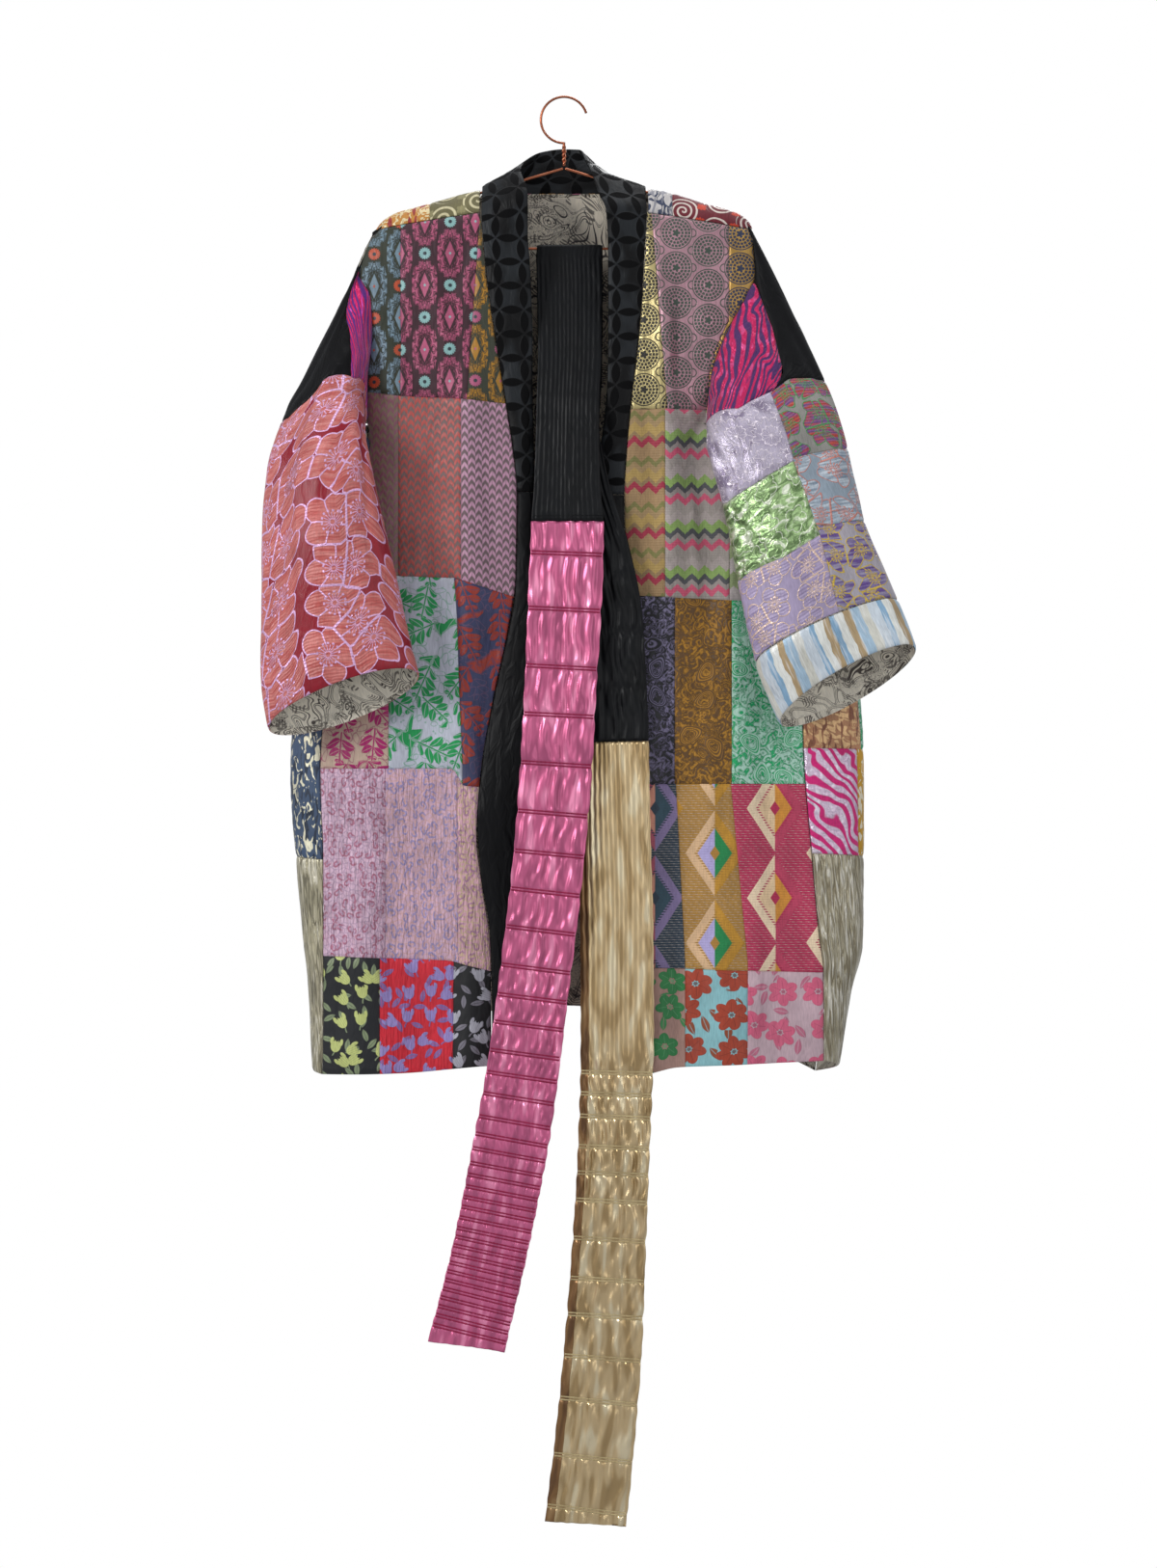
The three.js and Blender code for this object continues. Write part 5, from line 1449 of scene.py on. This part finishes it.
column = border((0, 0.38), (0.1, 0.35), (0.185, 0.33), (0.25, 0.36), (0.262, 0.45),
                (0.455, 0.45), (0.65, 0.41), (0.86, 0.45))
zebra_end = border((0.3, 0.27), (0.45, 0.26), (0.63, 0.24), (0.94, 0.12), (1.2, 0.2), (1.5, 0.26))
pearl_end = border((0.45, 0.455), (0.7, 0.495), (0.9, 0.52), (1.5, 0.5))
lime_end = border((0.41, 0.65), (0.61, 0.695), (0.93, 0.72), (1.5, 0.68))
black_end = border((-0.5, 0.3), (0, 0.3), (0.23, 0.275), (0.35, 0.26), (0.45, 0.26))
red_end = border((-0.5, 0.46), (0.1, 0.46), (0.45, 0.447))
blue_end = border((-0.5, 0.62), (0.45, 0.628))
sleeve_end = steady(CUFF_START - 0.003)


def down_rows(fabrics, ends, left, right):
    """The patches of one column of a sleeve, from the armhole down."""
    starts = [steady(0)] + ends
    return [(fabric, left, right, top, end) for fabric, top, end in zip(fabrics, starts, ends)]


inner_column = (["zebra_rose", "pearl", "lime", "lilac"], [zebra_end, pearl_end, lime_end, sleeve_end])
outer_column = (["black_twill", "floral_red", "floral_blue", "floral_violet"],
                [black_end, red_end, blue_end, sleeve_end])
sleeve_left = Piece("cloth_sleeve_left")
sleeve_patches(sleeve_left, 1, down_rows(*inner_column, column, steady(1.0))
               + down_rows(*inner_column, steady(1.0), steady(1.5))
               + down_rows(*outer_column, steady(-0.5), column))
sleeve_left.build(["sleeve_left"], "brocade_lilac", (0.30, 0.43), ["cloth_yoke_left"])


def both_halves(fabric, start, end):
    """A ring of one fabric, as its front half and its rear half."""
    return [(fabric, steady(turn), steady(turn + 1), steady(start), steady(end)) for turn in (-0.5, 0.5)]


cuff = Piece("cloth_cuff_left")
sleeve_patches(cuff, 1, both_halves("cuff", CUFF_START, 1))
cuff.build(["cuff_left"], "brocade_pale_blue", (0.31, 0.075), ["cloth_sleeve_left"])

for side, name in ((-1, "right"), (1, "left")):
    lined = Piece("cloth_sleeve_lining_" + name)
    sleeve_patches(lined, side, both_halves("lining", SLEEVE_LINING_START, 0.985),
                   -LINING_GAP, -LINING_GAP - LINING, False, 7.0)
    lined.build(["sleeve_lining_" + name], "lining", (0.31, 0.23), ["cloth_sleeve_" + name])


# ---- collar band -------------------------------------------------------------------------
def band_station(side, level):
    """The free and the sewn edge of a lower band, at its levels."""
    sewn = seam_x[side](level) - side * SEAM
    drop = front_drop(sewn, level)
    return skin(band_x[side](level), drop, -1), skin(sewn, drop, -1)


def add_band(piece, free, sewn, material, spacing=3.5):
    """A folded band with round edges over two rows of coarse points."""
    middle = (free + sewn) / 2
    run = np.insert(np.cumsum(np.linalg.norm(np.diff(middle, axis=0), axis=1)), 0, 0)
    fine = np.linspace(0, run[-1], int(run[-1] / spacing) + 1)
    edges = []
    for row in (free, sewn):
        rows = {"run": run, "x": row[:, 0], "y": row[:, 1], "z": row[:, 2]}
        edges.append(stack(*(through(rows, "run", axis)(fine) for axis in "xyz")))
    u = (1 - np.cos(np.pi * np.linspace(0, 1, 21))) / 2
    points = lerp(edges[0][:, None], edges[1][:, None], u[None, :, None])
    y = points[..., 1]
    y -= BAND_ROLL * np.sin(np.pi * u) * np.sign(-y - 1e-6) * 0.5
    if (normals_of(points) * (points - body_heart(points))).sum() < 0:
        points, u = points[:, ::-1], u[::-1]
    full = np.sqrt(np.clip(1 - (2 * u - 1) ** 8, 0.004, 1))
    along = along_rows(points, 0)
    rows = 0.35 * np.sin(along / 23 + 2 * np.sin(along / 61)) + 0.3 * np.sin(along / 9 + 3 * u)
    centre, half = (BAND_OUT - BAND_BACK) / 2, (BAND_OUT + BAND_BACK) / 2
    stitched = 0.5 * np.exp(-(((u - 0.93) / 0.02) ** 2))
    uv = np.stack([along_rows(points, 1), -np.broadcast_to(along[:, 10:11], along.shape)], -1)
    piece.wall(points, centre + (half + rows * 0.6) * full - stitched, centre - half * full, uv, material)


levels = np.array([145, 172, 205, 246, 292, 340, 381, BAND_SPLIT], float)
down = [band_station(1, levels), band_station(-1, levels[::-1])]
neck = [stack(NECK_BAND[c + "x"], NECK_BAND[c + "y"], -NECK_BAND[c + "drop"]) for c in "ab"]
free, sewn = (np.concatenate([down[1][k], neck[k], down[0][k]]) for k in (0, 1))
upper = Piece("cloth_band_upper")
add_band(upper, free, sewn, F["velvet"])
upper.build(["collar_band_upper"], "black_velvet", (0.05, 0.78), ["cloth_yoke_right", "cloth_yoke_left"])
levels = np.array([BAND_SPLIT + SEAM, 460, 515, 570, 630, 690, 750, 810, 870, 935, FRONT_HEM])
for side, name in ((-1, "right"), (1, "left")):
    lower = Piece("cloth_band_lower_" + name)
    add_band(lower, *band_station(side, levels), F["black_satin"])
    lower.build(["collar_band_lower_" + name], "black_satin", (0.053, 0.60), ["cloth_band_upper"])


# ---- sash --------------------------------------------------------------------------------
TAIL_HALF, MIDDLE_HALF = 37, 36  # half widths of the sash's cloth, for its gathers and its design


def gathers(across, drop, rows, seed, height=1.2, fine=None):
    """Folds that open between the stitched rows and pinch at them."""
    rng = np.random.default_rng(seed)
    walk = np.cumsum(rng.normal(0, 0.75, (len(rows) + 2, 3)), axis=0) + rng.uniform(0, 6, 3)
    ends = np.concatenate([[rows[0] - 60], rows, [rows[-1] + 60]])
    k = np.clip(np.searchsorted(ends, drop, side="right") - 1, 0, len(ends) - 2)
    gap = ends[k + 1] - ends[k]
    t = np.clip((drop - ends[k]) / gap, 0, 1)
    near = np.minimum(t, 1 - t) * gap
    phase = walk[np.minimum(k, len(walk) - 1)]
    wide = lerp(6.2, 15.0, smooth(gap, 10, 48))
    bend = 1.5 * np.sin(across / 9 + phase[..., 1]) + 0.9 * np.sin(2 * np.pi * t + phase[..., 2])
    a = np.sin(2 * np.pi * across / wide + phase[..., 0] + bend)
    b = np.sin(2 * np.pi * across / (wide * 0.55) + phase[..., 1] + 1.3 * t)
    open_ = smooth(near, 0.5, 7) if fine is None else smooth(near, 0.5, 5)
    size = height * np.minimum(1, 0.35 + gap / 45) * open_
    ripple = 0.16 * np.sin(across / 2.7 + 2 * a) * np.sin(drop / 6.5 + phase[..., 0])
    lift = size * (0.62 * a + 0.22 * b + ripple)
    bubble = np.sin(2 * np.pi * across / 3.9 + phase[..., 2] + 0.8 * np.sin(across / 5))
    lift = lift + 0.42 * np.exp(-near / 3.2) * bubble * (1 - np.exp(-near / 0.9))
    lift = lift - 0.85 * np.exp(-(((near - 1.5) / 0.8) ** 2))
    if fine is not None:
        upper, pitch = fine
        sway = 1.2 * np.sin(across / 8) + 1.1 * np.sin(drop / 47 + across / 15)
        knots = np.sin(drop / 4.3 + 3 * np.sin(across / 3.1)) * np.sin(drop / 17 + across)
        ribs = 0.62 * np.sin(2 * np.pi * across / pitch + sway) + 0.3 * knots
        lift = np.where(drop < upper, lerp(ribs, lift, smooth(drop, upper - 12, upper)), lift)
    return lift


def add_tail(piece, surface, material, drops, rows, seed, thread, columns, height, fine=None,
             edge=None):
    """A gathered tail with its double rows of thread, and a strip of another material at an edge: on the
    gold tail, a darker copy of its cloth as painted shade.
    """
    w = np.sin(np.linspace(-0.5, 0.5, columns) * np.pi * 0.92) / np.sin(0.46 * np.pi)
    grid_w, grid_drop = np.meshgrid(w, drops)
    rows = np.array(rows, float)
    near = np.min(np.abs(grid_drop[..., None] - rows), -1)
    narrow = 1 - 0.022 * np.exp(-((near / 5) ** 2)) + 0.008 * np.sin(grid_drop / 4.1)
    points = surface(grid_w * narrow, grid_drop)
    across = grid_w * TAIL_HALF
    lift = gathers(across, grid_drop, rows, seed, height, fine)
    full = np.sqrt(np.clip(1 - np.abs(grid_w) ** 10, 0.02, 1))
    uv = np.stack([across, -grid_drop], -1)
    parts = [(0, columns, material)]
    if edge:
        cut = int(columns * edge[0])
        parts = [(0, cut + 1, edge[1]), (cut, columns, material)]
    for first, last, cloth in parts:
        part = slice(first, last)
        piece.wall(points[:, part], (SASH_WALL / 2 + lift * 0.9)[:, part] * full[:, part],
                   (-SASH_WALL / 2 + lift * 0.35)[:, part] * full[:, part], uv[:, part], cloth)
    for row in rows:
        for shift in (-1.5, 1.5):
            strip_drop = np.array([-0.75, 0.0, 0.75]) + row + shift
            strip_w, strip_drop = np.meshgrid(w[2:-2:2], strip_drop)
            strip = surface(strip_w * 0.975, strip_drop)
            base = gathers(strip_w * TAIL_HALF, strip_drop, rows, seed, height, fine)
            raised = SASH_WALL / 2 + base * 0.9 + np.array([0.1, 0.65, 0.1])[:, None]
            strip_uv = np.stack([strip_w * TAIL_HALF, -strip_drop], -1)
            piece.wall(strip, raised, raised - 0.7, strip_uv, thread)


def sash_drops(start, end, rows):
    """Drops for a tail's grid, closer at its stitched rows."""
    rows = np.array(rows, float)
    close = (rows[:, None] + np.array([-2.4, -1.5, -0.7, 0, 0.7, 1.5, 2.4])).ravel()
    open_ = np.arange(start, end, 2.7)
    open_ = open_[np.min(np.abs(open_[:, None] - rows), 1) > 3.3]
    every = np.concatenate([[start, end], close, open_])
    return np.unique(every[(every >= start) & (every <= end)])


pink = Piece("cloth_sash_pink")
pink_drops = sash_drops(PINK_START, PINK_END, PINK_ROWS)
add_tail(pink, tail_surface(FRONT_TAIL), F["pink"], pink_drops, PINK_ROWS, 5, F["thread_red"], 76, 2.1)
pink.build(["sash_end_pink"], "metallic_pink", (0.076, 0.87), ["cloth_sash_middle"])
gold = Piece("cloth_sash_gold")
gold_drops = sash_drops(GOLD_START, GOLD_END, GOLD_ROWS)
# Its first fifth across is a darker, browner copy of the gold: painted shade where the sash turns away.
add_tail(gold, tail_surface(REAR_TAIL), F["gold"], gold_drops, GOLD_ROWS, 9, F["thread_pale"], 92, 2.2,
         (996, 5.0), (0.2, F["gold_brown"]))
gold.build(["sash_end_gold"], "metallic_gold", (0.077, 0.83), ["cloth_sash_middle"])


def sash_middle():
    """The black middle: up behind the hanger, over its bar and down in front."""
    middle = Piece("cloth_sash_middle")
    radius = WIRE / 2 + SASH_WALL / 2 + 0.4
    over = np.radians(np.linspace(20, 160, 9))
    columns, rear_rows, front_rows = 112, 170, 130
    w = np.linspace(-1, 1, columns)
    rear_drops = np.linspace(GOLD_START - SASH_SEAM, BEND_DROP, rear_rows)
    front_drops = np.linspace(BEND_DROP, PINK_START - SASH_SEAM, front_rows)
    rear_part = tail_surface(REAR_TAIL)(*np.meshgrid(w, rear_drops))
    front_part = tail_surface(FRONT_TAIL)(*np.meshgrid(w, front_drops))
    half = FRONT_TAIL["half"][0]
    top_x = (FRONT_TAIL["x"][0] + REAR_TAIL["x"][0]) / 2
    over = over[:, None]
    bend = stack(top_x + w[None] * half, radius * np.cos(over), -BAR + radius * np.sin(over))
    points = np.concatenate([rear_part, bend, front_part])
    points, w = points[:, ::-1], w[::-1]
    across = np.broadcast_to(w[None] * MIDDLE_HALF, points.shape[:2])
    drops = np.concatenate([rear_drops, np.full(len(over), float(BEND_COUNTS_AS)), front_drops])
    drops = drops[:, None] + 0 * across
    loose = gathers(across, drops, np.array([500, 556, 612.0]), 4, 2.0)
    crowded = np.concatenate([np.arange(192, 340, 24.0), np.arange(344, 440, 5.6)])
    tight = 0.95 * np.sin(2 * np.pi * across / 4.8 + 1.4 * np.sin(across / 9) + 0.5 * np.sin(drops / 60))
    nearest = np.min(np.abs(drops[..., None] - crowded), -1)
    tight = tight * (0.4 + 0.6 * smooth(nearest, 0.4, 2.2)) - 0.55 * np.exp(-((nearest / 0.9) ** 2))
    first = len(rear_drops)
    mostly_loose = smooth(drops, 452, 476)
    mostly_loose[first:] = 0
    lift = lerp(tight, loose, mostly_loose)
    front_side = np.zeros(points.shape[:2])
    front_side[first + 5 :] = 1
    trough_x = lerp(9, -2, smooth(drops, 170, 440))
    trough = np.exp(-(((across - trough_x) / 3.2) ** 2)) * smooth(drops, BEND_COUNTS_AS, 190) * front_side
    full = np.sqrt(np.clip(1 - np.abs(w[None]) ** 10, 0.02, 1))
    calm = 1 - 0.8 * np.exp(-(((drops - BEND_COUNTS_AS) / 9) ** 2))
    run = along_rows(points, 0)
    uv = np.stack([across, -run], -1)
    middle.wall(points, (SASH_WALL / 2 + lift * calm * 0.9 - 1.2 * trough) * full,
                (-SASH_WALL / 2 + lift * calm * 0.3 - 0.4 * trough) * full, uv, F["sash_black"])
    # Rows of stitching beside the seams with the two ends.
    stitching = ((FRONT_TAIL, PINK_START - 3), (FRONT_TAIL, PINK_START - 6), (REAR_TAIL, GOLD_START - 3))
    for tail, drop in stitching:
        strip_w, strip_drop = np.meshgrid(np.linspace(-0.97, 0.97, 60), np.array([-0.5, 0.0, 0.5]) + drop)
        strip = tail_surface(tail)(strip_w, strip_drop)
        raised = SASH_WALL / 2 + 0.35 + 0 * strip_w + np.array([-0.2, 0.4, -0.2])[:, None]
        if normals_of(strip)[1, 30, 1] >= 0:
            strip, strip_w = strip[:, ::-1], strip_w[:, ::-1]
        strip_uv = np.stack([strip_w * MIDDLE_HALF, -strip_drop], -1)
        middle.wall(strip, raised, raised - 0.8, strip_uv, F["sash_black"])
    middle.build(["sash_middle"], "black_satin", (0.072, 0.80), ["hanger_bar"])


sash_middle()


# ---- hanger ------------------------------------------------------------------------------
def wire(name, node, paths, thickness, sides=14):
    """Round wire along one or more paths, as one piece."""
    piece = Piece(name)
    for path in paths:
        path = np.array(path, float)
        run = np.insert(np.cumsum(np.linalg.norm(np.diff(path, axis=0), axis=1)), 0, 0)
        rows = {"run": run, "x": path[:, 0], "y": path[:, 1], "z": path[:, 2]}
        fine = np.linspace(0, run[-1], int(run[-1] / 1.6) + 2)
        line = stack(*(through(rows, "run", axis)(fine) for axis in "xyz")) if len(path) < 40 else path
        ahead = np.gradient(line, axis=0)
        ahead /= np.linalg.norm(ahead, axis=1, keepdims=True)
        side = np.cross(ahead, (0, 1, 0))
        side /= np.linalg.norm(side, axis=1, keepdims=True)
        up = np.cross(side, ahead)
        turn = np.linspace(0, 2 * np.pi, sides, endpoint=False)
        ring = side[:, None] * np.cos(turn)[None, :, None] + up[:, None] * np.sin(turn)[None, :, None]
        points = line[:, None] + ring * thickness / 2
        rings, start = len(line), piece.count
        j, i = np.mgrid[0 : rings - 1, 0:sides]
        n = (i + 1) % sides
        faces = np.stack([j * sides + i, (j + 1) * sides + i, (j + 1) * sides + n, j * sides + n], -1)
        faces = faces.reshape(-1, 4)
        caps = []
        for base, flip in ((0, False), ((rings - 1) * sides, True)):
            for k in range(1, sides - 2, 2):
                cap = [base, base + k, base + k + 1, base + k + 2]
                caps.append(cap[::-1] if flip else cap)
        faces = np.concatenate([faces, np.array(caps)])
        normal = np.cross(points[1, 0] - points[0, 0], points[0, 1] - points[0, 0])
        if normal @ (points[0, 0] - line[0]) < 0:
            faces = faces[:, ::-1]
        piece.points.append(points.reshape(-1, 3))
        distance = np.repeat(np.linspace(0, 1, rings) * rings, sides)
        piece.uv.append(np.stack([np.tile(turn * thickness / 2, rings), distance], -1))
        piece.faces.append(faces + start)
        piece.marks.append(np.full(len(faces), piece.mark(F["copper"])))
        piece.count += rings * sides
    return piece.build([node], "copper_wire")


hook_turn = np.radians(np.linspace(270, 17, 60))
hook_z = -HOOK_RADIUS + WIRE / 2
helix = np.linspace(0, 1, 44)
strand = 1.15
twists = []
for start in (0, math.pi):
    angle = start + helix * 2 * math.pi * 2.5
    reach = strand * np.minimum(1, 3 * (1 - helix)) * np.minimum(1, 4 * helix + 0.3)
    twists.append(stack(reach * np.cos(angle), reach * np.sin(angle), -TWIST + 3.2 + helix * 24))
arc = stack(HOOK_RADIUS * np.cos(hook_turn), 0, hook_z + HOOK_RADIUS * np.sin(hook_turn))
wire("wire_hook", "hanger_hook", [arc, twists[0], twists[1]], 2.6)
for side, name in ((-1, "right"), (1, "left")):
    seated = np.array([NECK_HALF + 2, 105, 125, 145, ARM_HALF])
    under = ridge(side * seated) + WIRE / 2 + SEAT
    bend_radius = (BAR - under[-1]) / 2
    line = [(1.0, TWIST)] + list(zip(seated, under))
    for degrees in (60, 26, 4, -22, -50, -85):
        a = math.radians(degrees)
        drop = BAR - bend_radius - bend_radius * math.sin(a)
        line.append((ARM_HALF + bend_radius * math.cos(a), drop))
    wire("wire_arm_" + name, "hanger_arm_" + name, [[(side * x, 0, -drop) for x, drop in line]], 2.8)
wire("wire_bar", "hanger_bar", [[(-ARM_HALF - 0.4, 0, -BAR), (0, 0, -BAR), (ARM_HALF + 0.4, 0, -BAR)]], 2.8)


# ---- stage, light and camera -------------------------------------------------------------
def stage_material():
    """Black paper that glows white, so that it looks the same wherever the lamps stand."""
    material = bpy.data.materials.new("studio_paper")
    material.use_nodes = True
    shader = material.node_tree.nodes["Principled BSDF"]
    shader.inputs["Base Color"].default_value = (0.0, 0.0, 0.0, 1)
    shader.inputs["Roughness"].default_value = 1.0
    shader.inputs["Specular IOR Level"].default_value = 0.0
    shader.inputs["Emission Color"].default_value = (1, 1, 1, 1)
    shader.inputs["Emission Strength"].default_value = 1.0
    return material


def studio():
    """A round white studio, far enough out to stand behind the garment from every side."""
    floor, radius, foot, top, sides = -3.4, 9.0, 1.5, 6.5, 72
    bend = np.linspace(0, np.pi / 2, 10)
    profile = [(0.02, floor)]
    profile += [(radius - foot + foot * math.sin(t), floor + foot - foot * math.cos(t)) for t in bend]
    profile += [(radius, top)]
    turns = np.linspace(0, 2 * np.pi, sides, endpoint=False)
    points = [(out * math.cos(a), out * math.sin(a), z) for out, z in profile for a in turns]
    faces = []
    for k in range(len(profile) - 1):
        low, high = sides * k, sides * (k + 1)
        for j in range(sides):
            after = (j + 1) % sides
            faces.append((low + j, low + after, high + after, high + j))
    mesh = bpy.data.meshes.new("studio")
    mesh.from_pydata(points, [], faces)
    mesh.polygons.foreach_set("use_smooth", [True] * len(mesh.polygons))
    mesh.materials.append(stage_material())
    sweep = bpy.data.objects.new("studio", mesh)
    sweep.visible_diffuse = False
    sweep.visible_glossy = False
    sweep.visible_shadow = False
    bpy.context.scene.collection.objects.link(sweep)
    sweep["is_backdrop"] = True


def lamp(name, place, target, size, power):
    """A round lamp that faces its target."""
    data = bpy.data.lights.new(name, "AREA")
    data.shape, data.size, data.energy = "DISK", size, power
    made = bpy.data.objects.new(name, data)
    made.location = place
    direction = Vector(target) - Vector(place)
    made.rotation_euler = direction.to_track_quat("-Z", "Y").to_euler()
    bpy.context.scene.collection.objects.link(made)


studio()
lamp("key", (-3.0, -2.7, 1.0), (0, 0, -0.65), 1.3, 92)
lamp("fill", (2.6, -3.2, -0.1), (0, 0, -0.7), 2.6, 22)
lamp("top", (0.3, 0.4, 2.4), (0, 0, -0.6), 2.0, 30)
lamp("behind", (0.7, 3.9, 1.7), (0, 0, -0.7), 2.2, 85)
world = bpy.data.worlds.new("studio_light")
world.use_nodes = True
background = world.node_tree.nodes["Background"]
background.inputs["Color"].default_value = (0.93, 0.95, 1.0, 1)
background.inputs["Strength"].default_value = 0.5
bpy.context.scene.world = world
bpy.context.scene.view_settings.view_transform = "Standard"

CAMERA_PLACE, LENS, SENSOR = (0.015, -4.5, -0.711), 99.63, 36.0
view = bpy.data.cameras.new("camera")
view.sensor_width, view.lens = SENSOR, LENS
view.clip_end = 60
camera = bpy.data.objects.new("camera", view)
camera.location, camera.rotation_euler = CAMERA_PLACE, (math.pi / 2, 0, 0)
bpy.context.scene.collection.objects.link(camera)
bpy.context.scene.camera = camera

low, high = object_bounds()
{"cad": [list(cad_low), list(cad_high)], "visual": [list(low), list(high)]}
